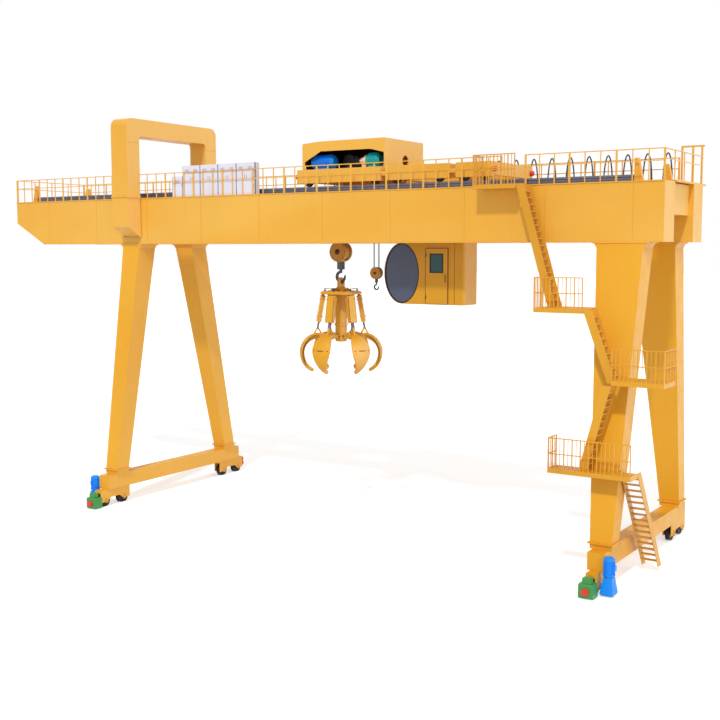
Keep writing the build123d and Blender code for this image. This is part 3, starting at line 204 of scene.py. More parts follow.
class Shader:
    """A material made of nodes, with short calls for the nodes that it uses."""

    def __init__(self, name):
        self.material = bpy.data.materials.new(name)
        self.material.use_nodes = True
        self.tree = self.material.node_tree
        self.surface = self.tree.nodes["Principled BSDF"]
        self.coordinates = self.tree.nodes.new("ShaderNodeTexCoord").outputs
        self.place = self.coordinates["Object"]

    def link(self, source, target):
        self.tree.links.new(source, target)

    def noise(self, scale, detail=4.0, roughness=0.55, stretch=None):
        node = self.tree.nodes.new("ShaderNodeTexNoise")
        fill(node, Scale=scale, Detail=detail, Roughness=roughness)
        place = self.place
        if stretch:
            mapping = fill(self.tree.nodes.new("ShaderNodeMapping"), Scale=stretch)
            self.link(place, mapping.inputs["Vector"])
            place = mapping.outputs["Vector"]
        self.link(place, node.inputs["Vector"])
        return node.outputs["Fac"]

    def ramp(self, source, low, high, to_low=0.0, to_high=1.0):
        node = self.tree.nodes.new("ShaderNodeMapRange")
        node.interpolation_type = "SMOOTHSTEP"
        fill(node, From_Min=low, From_Max=high, To_Min=to_low, To_Max=to_high)
        self.link(source, node.inputs["Value"])
        return node.outputs["Result"]

    def mix(self, factor, first, second, kind="MIX"):
        node = self.tree.nodes.new("ShaderNodeMix")
        node.data_type = "RGBA"
        node.blend_type = kind
        for value, name in ((factor, "Factor"), (first, "A"), (second, "B")):
            socket = next(s for s in node.inputs if s.name == name and s.enabled)
            if isinstance(value, (int, float, tuple)):
                socket.default_value = value
            else:
                self.link(value, socket)
        return next(s for s in node.outputs if s.enabled)

    def math(self, kind, first, second):
        node = self.tree.nodes.new("ShaderNodeMath")
        node.operation = kind
        for value, socket in zip((first, second), node.inputs):
            if isinstance(value, (int, float)):
                socket.default_value = value
            else:
                self.link(value, socket)
        return node.outputs["Value"]

    def axis(self, name, coordinates="Object"):
        node = self.tree.nodes.new("ShaderNodeSeparateXYZ")
        self.link(self.coordinates[coordinates], node.inputs["Vector"])
        return node.outputs[name]

    def within(self, name, low, high):
        """1 between two coordinates along an axis, and 0 elsewhere."""
        value = self.axis(name)
        above = self.math("GREATER_THAN", value, low)
        below = self.math("LESS_THAN", value, high)
        return self.math("MULTIPLY", above, below)

    def bump(self, source, distance, strength):
        node = fill(self.tree.nodes.new("ShaderNodeBump"), Distance=distance, Strength=strength)
        self.link(source, node.inputs["Height"])
        self.link(node.outputs["Normal"], self.surface.inputs["Normal"])

    def colour(self, source):
        self.link(source, self.surface.inputs["Base Color"])

    def roughness(self, source):
        self.link(source, self.surface.inputs["Roughness"])


def worn(shader, base, streaks):
    """Paint whose colour has worn unevenly, with faint rain streaks and fine speckles of dust."""
    cloudy = shader.ramp(shader.noise(0.35, 3.0), 0.3, 0.7)
    tone = shader.mix(cloudy, (0.95, 0.94, 0.93, 1), (1.0, 1.0, 1.0, 1))
    base = shader.mix(1.0, base, tone, "MULTIPLY")
    rain = shader.noise(1.0, 5.0, 0.6, (5.0, 5.0, 0.35))
    base = shader.mix(shader.ramp(rain, 0.55, 0.78, 0.0, streaks), base, linear(RAIN_STREAK))
    dust = shader.ramp(shader.noise(60.0, 2.0), 0.62, 0.75, 0.0, 0.105)
    return shader.mix(dust, base, linear(DUST))


def sprayed(shader):
    """The fine texture of a sprayed coat."""
    shader.bump(shader.noise(55.0, 3.0), 0.0015, 0.35)


def painted(shader, colour, roughness, streaks=0.10):
    """Completes a paint of a colour, with its wear and an uneven gloss."""
    shader.colour(worn(shader, colour, streaks))
    gloss = shader.ramp(shader.noise(3.0), 0.3, 0.7, roughness - 0.07, roughness + 0.12)
    shader.roughness(gloss)
    sprayed(shader)
    fill(shader.surface, Specular_IOR_Level=0.35)
    return shader.material


def crane_yellow(shader, base, deep, side_light, clouds):
    """Yellow that deepens in broad soft clouds, with painted light that turns the faces towards +X
    paler.
    """
    cloudy = shader.noise(0.16, 2.0, 0.5, (0.7, 0.7, 1.3))
    colour = shader.mix(shader.ramp(cloudy, 0.42, 0.68, 0.0, clouds), base, deep)
    # Painted light: faces towards +X turn paler, as though lit more from that side
    painted_side_light = shader.ramp(shader.axis("X", "Normal"), 0.4, 0.95, 0.0, side_light)
    return shader.mix(painted_side_light, colour, linear(SIDE_LIGHT_PALE))


def yellow_paint(name, colour, deep=AMBER, roughness=0.42, side_light=0.5, clouds=0.6):
    shader = Shader(name)
    base = crane_yellow(shader, linear(colour), linear(deep), side_light, clouds)
    return painted(shader, base, roughness)


def paint(name, colour, roughness, streaks=0.10):
    return painted(Shader(name), linear(colour), roughness, streaks)


def house_coat(name):
    """Crane yellow outside, and dark brown painted shade inside the walls and under the roof with
    its slope.
    """
    shader = Shader(name)
    rise = shader.math("MULTIPLY", shader.axis("X"), HOUSE_SLOPE)
    above_slope = shader.math("SUBTRACT", shader.axis("Z"), rise)
    mask = shader.math("LESS_THAN", above_slope, HOUSE_LIMIT)
    for axis, (low, high) in zip("XYZ", HOUSE_BOUNDS):
        mask = shader.math("MULTIPLY", shader.within(axis, low, high), mask)
    outside = crane_yellow(shader, linear(YELLOW), linear(AMBER), 0.5, 0.3)
    return painted(shader, shader.mix(mask, outside, linear(HOUSE_INSIDE_SHADE)), 0.42)


def by_position(name, first, second, limit):
    """One paint up to a place along X and another beyond it."""
    shader = Shader(name)
    side = shader.math("GREATER_THAN", shader.axis("X"), limit)
    shader.colour(worn(shader, shader.mix(side, linear(first), linear(second)), 0.03))
    fill(shader.surface, Roughness=0.36)
    sprayed(shader)
    return shader.material


def steel(name, colour, roughness, metallic, grain=(1.0, 1.0, 12.0)):
    shader = Shader(name)
    fine = shader.noise(18.0, 5.0, 0.6, grain)
    shader.colour(shader.mix(shader.ramp(fine, 0.3, 0.7), linear(colour, 0.72), linear(colour)))
    shader.roughness(shader.ramp(fine, 0.3, 0.7, roughness - 0.1, roughness + 0.15))
    fill(shader.surface, Metallic=metallic)
    shader.bump(fine, 0.001, 0.3)
    return shader.material


def moulded(name, colour, roughness=0.55):
    shader = Shader(name)
    cloudy = shader.ramp(shader.noise(9.0, 4.0), 0.3, 0.7)
    shader.colour(shader.mix(cloudy, linear(colour, 0.8), linear(colour)))
    shader.roughness(shader.ramp(shader.noise(25.0), 0.3, 0.7, roughness - 0.1, roughness + 0.1))
    shader.bump(shader.noise(140.0, 2.0), 0.0008, 0.4)
    return shader.material


def tinted(name, colour):
    """Dark glass that shows the sky and hides what is behind it."""
    shader = Shader(name)
    cloudy = shader.ramp(shader.noise(0.9, 2.0), 0.3, 0.7)
    shader.colour(shader.mix(cloudy, linear(colour, 0.9), linear(colour)))
    shader.roughness(shader.ramp(shader.noise(6.0), 0.3, 0.7, 0.1, 0.2))
    fill(shader.surface, Specular_IOR_Level=0.4)
    return shader.material


def wire_rope(name):
    """Twisted strands, as slanting bands round the rope."""
    shader = Shader(name)
    wave = fill(shader.tree.nodes.new("ShaderNodeTexWave"), Scale=14.0)
    wave.wave_type = "BANDS"
    wave.bands_direction = "DIAGONAL"
    shader.link(shader.place, wave.inputs["Vector"])
    bands = wave.outputs["Fac"]
    shader.colour(shader.mix(bands, linear(ROPE, 0.7), linear(ROPE)))
    fill(shader.surface, Metallic=0.5, Roughness=0.5)
    shader.bump(bands, 0.004, 0.7)
    return shader.material


yellow = yellow_paint("yellow_paint", YELLOW)
seam_yellow = paint("seam_paint", (214, 152, 52), 0.5)
deep_yellow = yellow_paint("grab_paint", (222, 160, 34), (190, 124, 16), 0.38, 0.55, 0.8)
# Painted shade: a darker brown for the shade on the claws' return flanges
tine_flange_shade = paint("tine_flange_shade_paint", (150, 100, 26), 0.5)
block_yellow = yellow_paint("block_paint", (192, 132, 40), (160, 110, 26), 0.4, 0.3)
# Painted shade: the cab's yellow is darkened all over to the shade that the girder casts on most
# of it
cab_shaded_yellow = yellow_paint("cab_shaded_paint", (210, 150, 24), (200, 140, 14), 0.4, 0.35, 0.5)
leg_yellow = yellow_paint("leg_paint", (230, 168, 40), (222, 154, 18), 0.42, 0.2)
stair_yellow = yellow_paint("stair_paint", (222, 160, 40), (204, 140, 24), 0.42, 0.3, 0.7)
house_paint = house_coat("house_paint")
brown = paint("brown_paint", BROWN, 0.5)
cabinet_white = paint("cabinet_paint", CABINET, 0.4, 0.05)
cabinet_seam = paint("cabinet_seam", (120, 120, 136), 0.5, 0.0)
blue = paint("blue_paint", BLUE, 0.35, 0.04)
teal = paint("teal_paint", TEAL, 0.35, 0.04)
green = paint("green_paint", GREEN, 0.4, 0.04)
cream = paint("cream_paint", CREAM, 0.4, 0.04)
hoist_paint = by_position("hoist_paint", BLUE, TEAL, -0.6)
drum_paint = by_position("drum_paint", DRUM, CREAM, -0.35)
rail = steel("rail_steel", STEEL, 0.42, 0.55, (0.6, 6.0, 12.0))
dark = steel("dark_steel", DARK, 0.45, 0.6)
forged = steel("forged_steel", FORGED, 0.5, 0.5, (2.0, 2.0, 3.0))
black = moulded("black_rubber", RUBBER)
red = moulded("red_rubber", RED, 0.45)
glass = tinted("tinted_glass", SLATE)
pane_glass = tinted("pane_glass", PANE)
rope = wire_rope("rope_wire")

# The finish of each solid by its whole name, or by how its name starts or ends
FINISH = {
    "sill_beams": leg_yellow,
    "bogie_frames": leg_yellow,
    "trolley_rails": rail,
    "ground_wheels": dark,
    "trolley_wheels": dark,
    "travel_reducers": blue,
    "travel_motors": blue,
    "rail_clamps": green,
    "ground_buffers": red,
    "trolley_buffers": red,
    "electrical_cabinets": cabinet_white,
    "trolley_house": house_paint,
    "hoist_motors": hoist_paint,
    "hoist_drums": drum_paint,
    "cab_windows": glass,
    "cab_shell": cab_shaded_yellow,
    "cab_door": cab_shaded_yellow,
    "main_hook": dark,
    "aux_hook": dark,
    "hook_block": block_yellow,
    "aux_block": block_yellow,
    "grab_head": deep_yellow,
    "grab_cylinders": deep_yellow,
}
FAMILY_FINISH = (
    ("stair_", stair_yellow),
    ("tine_", deep_yellow),
    ("cylinder_rod_", rail),
    ("_leg", leg_yellow),
)


def dress_frame():
    """Gives every carried-over solid its finish."""
    for name, piece in nodes.items():
        finish = FINISH.get(name, yellow)
        for mark, family in FAMILY_FINISH:
            if name.startswith(mark) or name.endswith(mark):
                finish = family
        for slot in piece.material_slots:
            slot.material = finish


# Forms
class Build:
    """Collects small forms into one mesh."""

    def __init__(self):
        self.mesh = bmesh.new()

    def box(self, low, high, bevel=0.0, turn=None):
        middle = [(a + b) / 2 for a, b in zip(low, high)]
        size = [abs(b - a) for a, b in zip(low, high)]
        place = Matrix.Translation(middle) @ Matrix.Diagonal((*size, 1))
        if turn is not None:
            place = turn @ place
        made = bmesh.ops.create_cube(self.mesh, size=1, matrix=place)["verts"]
        if bevel:
            edges = list({edge for vert in made for edge in vert.link_edges})
            bmesh.ops.bevel(self.mesh, geom=edges, offset=bevel, segments=1, affect="EDGES")

    def rod(self, start, end, radius, sides):
        start, end = Vector(start), Vector(end)
        run = end - start
        turn = run.to_track_quat("Z", "Y").to_matrix().to_4x4()
        bmesh.ops.create_cone(
            self.mesh,
            cap_ends=True,
            segments=sides,
            radius1=radius,
            radius2=radius,
            depth=run.length,
            matrix=Matrix.Translation((start + end) / 2) @ turn,
        )

    def loft(self, rows, ring=True, loop=False):
        """Joins rows of points with faces.

        A ring is a row that closes on itself, and a loop is a path of rows that does. Rings
        along an open path get a cap at each end.
        """
        rows = [[self.mesh.verts.new(point) for point in row] for row in rows]
        count = len(rows[0])
        pairs = list(zip(rows, rows[1:]))
        if loop:
            pairs.append((rows[-1], rows[0]))
        for first, second in pairs:
            for k in range(count if ring else count - 1):
                after = (k + 1) % count
                self.mesh.faces.new((first[k], first[after], second[after], second[k]))
        if ring and not loop:
            self.mesh.faces.new(rows[0][::-1])
            self.mesh.faces.new(rows[-1])

    def tube(self, points, radius, sides, closed=False):
        """A bar of round section along points, of one radius or of one for each point."""
        points = [Vector(point) for point in points]
        count = len(points)
        radii = radius if isinstance(radius, list) else [radius] * count
        rings = []
        normal = None
        for index, point in enumerate(points):
            if closed:
                way = points[(index + 1) % count] - points[index - 1]
            else:
                way = points[min(index + 1, count - 1)] - points[max(index - 1, 0)]
            way.normalize()
            if normal is None:
                normal = way.orthogonal().normalized()
            normal = (normal - way * normal.dot(way)).normalized()
            side = way.cross(normal)
            turns = (2 * math.pi * step / sides for step in range(sides))
            offsets = ((normal * math.cos(a) + side * math.sin(a)) * radii[index] for a in turns)
            rings.append([point + offset for offset in offsets])
        self.loft(rings, loop=closed)

    def lathe(self, outline, place, sides):
        """Turns an outline of radius and height round the local Z axis of a placed frame."""
        rings = []
        for radius, height in outline:
            if radius < 1e-6:
                rings.append([self.mesh.verts.new(place @ Vector((0, 0, height)))])
                continue
            ring = []
            for step in range(sides):
                angle = 2 * math.pi * step / sides
                point = Vector((radius * math.cos(angle), radius * math.sin(angle), height))
                ring.append(self.mesh.verts.new(place @ point))
            rings.append(ring)
        for first, second in zip(rings, rings[1:]):
            for step in range(sides):
                after = (step + 1) % sides
                corners = []
                for ring, spot in ((first, step), (first, after), (second, after), (second, step)):
                    corner = ring[spot % len(ring)]
                    if corner not in corners:
                        corners.append(corner)
                if len(corners) > 2:
                    self.mesh.faces.new(corners)

    def bolt(self, place, radius, height):
        """A hexagon head with a washer, standing on the local XY plane of a placed frame."""
        rim, washer = radius * 1.35, height * 0.2
        self.lathe([(0, 0), (rim, 0), (rim, washer), (0, washer)], place, 12)
        head = [(radius, washer), (radius, height * 0.95), (radius * 0.8, height), (0, height)]
        self.lathe(head, place, 6)

    def bolt_circle(self, place, count, reach, radius, height):
        for step in range(count):
            angle = 2 * math.pi * step / count
            spot = Matrix.Translation((reach * math.cos(angle), reach * math.sin(angle), 0.0))
            self.bolt(place @ spot, radius, height)

    def done(self, name, material, body="root", smooth=True):
        bmesh.ops.recalc_face_normals(self.mesh, faces=self.mesh.faces)
        data = bpy.data.meshes.new(name)
        self.mesh.to_mesh(data)
        self.mesh.free()
        data.materials.append(material)
        if smooth:
            data.shade_smooth()
            data.set_sharp_from_angle(angle=math.radians(35))
        piece = bpy.data.objects.new(name, data)
        bpy.context.scene.collection.objects.link(piece)
        if body:
            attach(piece, body)
        return piece


def at(x, y, z):
    return Matrix.Translation((x, y, z))


def facing(point, axis):
    """A frame at a point, with its Z along an axis."""
    return at(*point) @ Vector(axis).to_track_quat("Z", "Y").to_matrix().to_4x4()


def around(index):
    """The turn that carries the first tine's plane to a numbered place round the grab."""
    angle = math.radians(FIRST_TINE + index * 360 / TINE_COUNT)
    return at(HOOK_X, 0, 0) @ Matrix.Rotation(angle, 4, "Z")


def arc(centre, reach, rise, start, sweep, steps):
    """Points of an ellipse in an upright plane across Y, from an angle and over a sweep."""
    x, y, z = centre
    angles = [math.radians(start + sweep * step / steps) for step in range(steps + 1)]
    return [(x + reach * math.cos(a), y, z + rise * math.sin(a)) for a in angles]


def mirrored(half):
    """A whole outline from its upper half, which runs from the middle to the rim."""
    return [(radius, -height) for radius, height in half] + half[::-1]


def barrel(radius, half, chamfer, hub=0.0):
    """The outline of a drum with chamfered ends, centred on the origin."""
    return mirrored([(hub, half), (radius - chamfer, half), (radius, half - chamfer)])


# Structure
def girder_seams():
    """Weld beads between the web plates of both girders."""
    made = Build()
    low, high = GIRDER_Z[0] + 0.032, GIRDER_Z[1] - 0.032
    for side in (-1, 1):
        for face, way in ((GIRDER_OUTER - FLANGE_LIP, 1), (GIRDER_INNER + FLANGE_LIP, -1)):
            y = side * face
            proud = y + side * way * BEAD_HEIGHT
            x = CHAMFER_END + 0.4
            while x < GIRDER_X[1] - 0.5:
                made.box((x - BEAD_HALF, y, low), (x + BEAD_HALF, proud, high))
                x += SEAM_PITCH
    made.done("girder_seams", seam_yellow)


def portal_seams():
    """Weld beads round both posts of the portal."""
    made = Build()
    proud = 0.004
    reach = PORTAL_HALF + proud
    for side in (-1, 1):
        near, far = side * (GIRDER_OUTER + proud), side * (PORTAL_OUTER - proud)
        for z in PORTAL_SEAMS:
            low, high = z - BEAD_HALF, z + BEAD_HALF
            made.box((PORTAL_X - reach, near, low), (PORTAL_X + reach, far, high))
    made.done("portal_seams", seam_yellow)


def foot_bolts():
    """Bolts round the foot plate of every leg."""
    made = Build()
    inner, outer = FOOT_Y[0] - FOOT_MARGIN, FOOT_Y[1] + FOOT_MARGIN
    for centre, width in zip(GROUND_X, FOOT_WIDTHS):
        half = width / 2 + FOOT_MARGIN
        for side in (-1, 1):
            spots = [(half * t, y) for t in (-1, -0.5, 0, 0.5, 1) for y in (outer, inner)]
            shares = (0.25, 0.5, 0.75)
            spots += [(way * half, inner + (outer - inner) * t) for way in (-1, 1) for t in shares]
            for x, y in spots:
                made.bolt(at(centre + x, side * y, FOOT_Z), 0.018, 0.026)
    made.done("foot_bolts", seam_yellow)


def axle_caps():
    """Bolted bearing caps outside the bogies' side plates."""
    made = Build()
    outline = [(0.0, 0.035), (0.05, 0.035), (0.06, 0.03), (0.1, 0.025), (0.105, 0.0)]
    for x, y in WHEELS:
        for way in (-1, 1):
            place = facing((x + way * BOGIE_HALF_WIDTH, y, WHEEL_RADIUS), (way, 0, 0))
            made.lathe(outline, place, 24)
            made.bolt_circle(place @ at(0, 0, 0.024), 6, 0.083, 0.008, 0.012)
    made.done("axle_caps", seam_yellow)


# Electrics
def cabinet_rows():
    """Where each cabinet starts and ends along X, its height and its number of doors."""
    low_end = CABINET_START - CABINET_GAP
    yield low_end - LOW_CABINET_WIDTH, low_end, LOW_CABINET_HEIGHT, 1
    for index in range(4):
        start = CABINET_START + index * CABINET_PITCH
        yield start, start + CABINET_PITCH - CABINET_GAP, CABINET_HEIGHT, 2


def cabinet_doors():
    """Two raised doors on each tall cabinet, with louvres, and one on the low cabinet."""
    doors, trims = Build(), Build()
    face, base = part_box("electrical_cabinets")[0][1:]
    for x0, x1, height, count in cabinet_rows():
        top = base + height
        width = (x1 - x0 - 0.02) / count
        for index in range(count):
            a = x0 + 0.016 + index * width
            b = a + width - 0.012
            doors.box((a, face - 0.005, base + 0.05), (b, face + 0.002, top - 0.03), 0.002)
            left, right = a + width * 0.25, a + width * 0.7
            for k in range(5):
                z = top - 0.16 - k * 0.025
                trims.box((left, face - 0.007, z), (right, face - 0.004, z + 0.008))
            hand = b - 0.04 if index == 0 else a + 0.04
            low, high = base + height * 0.5, base + height * 0.62
            trims.box((hand - 0.008, face - 0.0075, low), (hand + 0.008, face - 0.004, high))
        for left, right in ((x1 - 0.012, x1 + 0.004), (x0 - 0.004, x0 + 0.008)):
            trims.box((left, face - 0.003, base + 0.01), (right, face + 0.05, top - 0.01))
    for z in (0.32, 0.64, 0.96):
        knob = facing((x1 - 0.07, face - 0.004, base + z), (0, -1, 0))
        trims.lathe([(0, 0.008), (0.03, 0.008), (0.036, 0.0)], knob, 16)
    doors.done("cabinet_doors", cabinet_white)
    trims.done("cabinet_trim", cabinet_seam)


def festoon_hoops():
    """The festoon cable's standing hoops, each as a smooth round bar."""
    made = Build()
    reach, rise = HOOP_HALF_WIDTH - HOOP_RADIUS, HOOP_HEIGHT - HOOP_RADIUS
    for index in range(HOOP_COUNT):
        foot = (HOOP_START + index * HOOP_PITCH, HOOP_Y, GIRDER_Z[1])
        made.tube(arc(foot, reach, rise, 180, -180, 28), HOOP_RADIUS, 8)
    piece = made.done("festoon_hoops", black)
    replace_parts(piece, "festoon_cable")


# Cab
def cab_pane():
    """The door's pane, and the four bars of its frame."""
    frames, panes = Build(), Build()
    (x0, x1), (z0, z1) = PANE_X, PANE_Z
    trim, lap = 0.035, 0.004
    bars = (
        (x0 - trim, x0 + lap, z0 - trim, z1 + trim),
        (x1 - lap, x1 + trim, z0 - trim, z1 + trim),
        (x0, x1, z0 - trim, z0 + lap),
        (x0, x1, z1 - lap, z1 + trim),
    )
    for left, right, low, high in bars:
        frames.box((left, DOOR_FACE - 0.006, low), (right, DOOR_FACE + 0.01, high), 0.003)
    panes.box(
        (x0 + PANE_GAP, PANE_Y[0], z0 + PANE_GAP),
        (x1 - PANE_GAP, PANE_Y[1], z1 - PANE_GAP),
    )
    panes.done("cab_door_pane", pane_glass, "trolley")
    return frames


def cab_details():
    """The oval windows' rims, the seams round the door, and its handle and hinges."""
    rims, seams, handles = Build(), Build(), Build()
    inset = 0.04
    middle, half_height = (CABIN_Z[0] + CABIN_Z[1]) / 2, (CABIN_Z[1] - CABIN_Z[0]) / 2
    for side in (-1, 1):
        centre = (CABIN_X[0] + NOSE_HALF, side * (CABIN_HALF - 0.012), middle)
        oval = arc(centre, NOSE_HALF - inset, half_height - inset, 0, 360, 72)
        rims.tube(oval[:-1], 0.024, 8, closed=True)
    frames = cab_pane()
    front, back = DOOR_FACE - 0.001, DOOR_FACE + 0.03
    half = 0.012
    for x in DOOR_X:
        seams.box((x - half, front, DOOR_Z[0]), (x + half, back, DOOR_Z[1]))
    seams.box((DOOR_X[0], front, DOOR_Z[1] - half), (DOOR_X[1], back, DOOR_Z[1] + half))
    seams.box(
        (CABIN_SEAM_X[0], -CABIN_HALF - 0.002, CABIN_Z[0] + 0.02),
        (CABIN_SEAM_X[1], -CABIN_HALF + 0.004, CABIN_Z[1] - 0.02),
    )
    grip = DOOR_FACE - 0.02
    handles.rod((HANDLE_X, grip, 9.15), (HANDLE_X, grip, 9.40), 0.011, 10)
    for z in (9.16, 9.39):
        handles.rod((HANDLE_X, grip, z), (HANDLE_X, DOOR_FACE + 0.005, z), 0.009, 8)
    pin = DOOR_FACE - 0.012
    for z in (8.6, 10.1):
        handles.rod((HINGE_X, pin, z - 0.06), (HINGE_X, pin, z + 0.06), 0.014, 10)
    rims.done("cab_rims", dark, "trolley")
    frames.done("cab_window_frame", dark, "trolley")
    seams.done("cab_seams", brown, "trolley")
    handles.done("cab_handles", dark, "trolley")


# Drives
def motor_fins(name, centre, axis, radius, length, count, height, material, body):
    """Cooling ribs that run along a motor's body."""
    made = Build()
    place = facing(centre, axis)
    for step in range(count):
        turn = place @ Matrix.Rotation(2 * math.pi * step / count, 4, "Z")
        low = (radius - 0.01, -0.003, -length / 2)
        made.box(low, (radius + height, 0.003, length / 2), 0.0, turn)
    made.done(name, material, body, smooth=False)


def drives():
    """Cooling ribs and flange bolts on the upright travel motors."""
    low, high = DRIVE_FINS_Z
    for index, (x, y) in enumerate(DRIVES, 1):
        middle = (x, y, (low + high) / 2)
        name = f"travel_motor_fins_{index}"
        motor_fins(name, middle, (0, 0, 1), DRIVE_FINS_RADIUS, high - low, 36, 0.011, blue, "root")
        made = Build()
        made.bolt_circle(at(x, y, 0.686), 8, 0.175, 0.007, 0.012)
        made.done(f"travel_motor_bolts_{index}", blue)


def hoist_details():
    along = (1, 0, 0)
    motor_fins("main_motor_fins", MAIN_MOTOR, along, 0.255, 0.78, 44, 0.018, blue, "trolley")
    motor_fins("aux_motor_fins", AUX_MOTOR, along, 0.25, 0.36, 44, 0.018, teal, "trolley")


# Turned pieces
def girder_wheels():
    """Dished wheels with a flange on each side, on the ground rails and under the trolley."""
    ground, trolley = Build(), Build()
    half = [(0.0, 0.1347), (0.055, 0.1347), (0.055, 0.08), (0.09, 0.08), (0.105, 0.062)]
    half += [(0.19, 0.055), (0.215, 0.08), (0.272, 0.08), (0.28, 0.072), (0.28, 0.06)]
    half += [(0.25, 0.05)]
    for x, y in WHEELS:
        ground.lathe(mirrored(half), facing((x, y, WHEEL_RADIUS), (1, 0, 0)), 48)
    half = [(0.0, 0.0847), (0.068, 0.0847), (0.068, 0.05), (0.13, 0.045), (0.14, 0.06)]
    half += [(0.165, 0.06), (0.17, 0.055)]
    for x in TROLLEY_WHEELS_X:
        for side in (-1, 1):
            place = facing((x, side * TRACK_Y, TROLLEY_AXLE_Z), (0, 1, 0))
            trolley.lathe(mirrored(half), place, 40)
    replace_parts(ground.done("ground_wheels_turned", dark), "ground_wheels")
    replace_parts(trolley.done("trolley_wheels_turned", dark, "trolley"), "trolley_wheels")


def pads():
    """Rounded faces for the buffers."""
    ground, trolley = Build(), Build()
    near = [(0.0, 0.0898), (0.09, 0.0898), (0.104, 0.084), (0.111, 0.07), (0.111, 0.0)]
    far = [(0.0, 0.1708), (0.09, 0.1708), (0.106, 0.165), (0.1132, 0.15), (0.1132, 0.0)]
    for x in GROUND_X:
        ground.lathe(near, facing((x, -4.8506, 0.235), (0, -1, 0)), 36)
        ground.lathe(far, facing((x, 4.4503, 0.33), (0, 1, 0)), 36)
    outline = [(0.0, 0.1098), (0.07, 0.1098), (0.084, 0.104), (0.091, 0.09), (0.091, 0.0)]
    for side in (-1, 1):
        for x, way in ((-2.4253, -1), (5.5653, 1)):
            place = facing((x, side * TRACK_Y, TROLLEY_BUFFER_Z), (way, 0, 0))
            trolley.lathe(outline, place, 32)
    ground.done("ground_buffer_pads", red)
    trolley.done("trolley_buffer_pads", red, "trolley")


def turned_hook(name, node, body, x, centre, ring, thick, nut):
    """A forged hook with a round bowl that narrows to its tip, a stem and a threaded collar."""
    made = Build()
    steps, bend = 44, 0.62
    radii = []
    for step in range(steps + 1):
        share = step / steps
        swell = 0.86 + 0.14 * math.sin(math.pi * min(1.0, share / bend / 2 + 0.1))
        narrow = 1.0 - 0.5 * (max(0.0, share - bend) / (1 - bend)) ** 1.3
        radii.append(thick * (swell if share < bend else narrow))
    made.tube(arc((x, 0, centre), ring, ring, 90, 290, steps), radii, 20)
    low, high, radius = nut
    place = at(x, 0, 0)
    foot = centre + ring - thick * 0.6
    made.lathe([(0, foot), (thick * 0.9, foot), (thick * 0.96, low + 0.01)], place, 24)
    rim, edge = radius * 0.94, 0.012
    collar = [(thick * 0.9, low), (rim, low), (radius, low + edge)]
    collar += [(radius, high - edge), (rim, high), (0, high)]
    made.lathe(collar, place, 32)
    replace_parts(made.done(name, forged, body), node)


def vent_guard():
    """A ring and bars in front of the winch house's round vent."""
    made = Build()
    circle = arc((0, 0, 0), 0.207, 0.207, 0, 360, 48)[:-1]
    ring = [(1.2262, VENT_Y + across, VENT_Z + up) for across, _, up in circle]
    made.tube(ring, 0.014, 8, closed=True)
    for step in range(-2, 3):
        rise = step * 0.07
        reach = math.sqrt(0.2**2 - rise**2)
        z = VENT_Z + rise
        made.box((1.203, VENT_Y - reach, z - 0.004), (1.209, VENT_Y + reach, z + 0.004))
    made.done("vent_guard", seam_yellow, "trolley")


def hoist_turning():
    """Round drums, motors and gear cone in the winch house, with the rope laid on the drum."""
    motor, teal_motor, drum, wound, cone = (Build() for _ in range(5))
    motor.lathe(barrel(0.256, 0.501, 0.077), facing(MAIN_MOTOR, (1, 0, 0)), 56)
    teal_motor.lathe(barrel(0.251, 0.281, 0.075), facing(AUX_MOTOR, (1, 0, 0)), 56)
    for y in DRUM_FLANGES_Y:
        drum.lathe(barrel(0.277, 0.021, 0.007), facing((DRUM_X, y, DRUM_Z), (0, 1, 0)), 56)
    turns = range(163, -1, -1)
    ripples = [(0.243 + 0.006 * math.cos(k * math.pi / 2), 0.56 - k * 0.0068) for k in turns]
    wound.lathe(ripples, facing((DRUM_X, sum(DRUM_FLANGES_Y) / 2, DRUM_Z), (0, 1, 0)), 40)
    outline = [(0, 0.0), (0.2135, 0.0), (0.2135, 0.02), (0.07, 0.341), (0, 0.341)]
    cone.lathe(outline, facing(GEAR_CONE, (-1, 0, 0)), 48)
    motor.done("main_motor_casing", blue, "trolley")
    teal_motor.done("aux_motor_casing", teal, "trolley")
    drum.done("drum_flanges", dark, "trolley")
    wound.done("drum_rope", rope, "trolley")
    cone.done("gear_cone", cream, "trolley")
    vent_guard()


def drive_turning():
    """Round casings on the upright motors and the necks of their gear cases."""
    casing = [(0, 0.6403), (0.1858, 0.6403), (0.1858, 0.6863), (0.1636, 0.69), (0.1636, 1.079)]
    casing += [(0.1748, 1.08), (0.1748, 1.142), (0.138, 1.183), (0.12, 1.192), (0, 1.192)]
    neck = [(0, 0.55), (0.1525, 0.55), (0.1525, 0.6395), (0, 0.6395)]
    for index, (x, y) in enumerate(DRIVES, 1):
        made = Build()
        made.lathe(casing, at(x, y, 0), 48)
        made.lathe(neck, at(x, y, 0), 48)
        made.done(f"travel_motor_casing_{index}", blue)


# Small structure
def portal_flanges():
    """The bolted joint where each post of the portal stands on its bracket."""
    made = Build()
    low, high = PORTAL_FLANGE_Z
    half = PORTAL_HALF + 0.035
    for side in (-1, 1):
        near, far = side * (GIRDER_OUTER + 0.002), side * (PORTAL_OUTER + 0.035)
        made.box((PORTAL_X - half, near, low), (PORTAL_X + half, far, high), 0.004)
        for step in range(9):
            x = PORTAL_X - PORTAL_HALF + step * 0.11
            made.bolt(at(x, side * (PORTAL_OUTER + 0.016), high), 0.012, 0.018)
        for step in range(6):
            y = side * (GIRDER_OUTER + 0.06 + step * 0.12)
            for way in (-1, 1):
                made.bolt(at(PORTAL_X + way * (PORTAL_HALF + 0.017), y, high), 0.012, 0.018)
    made.done("portal_flanges", yellow)


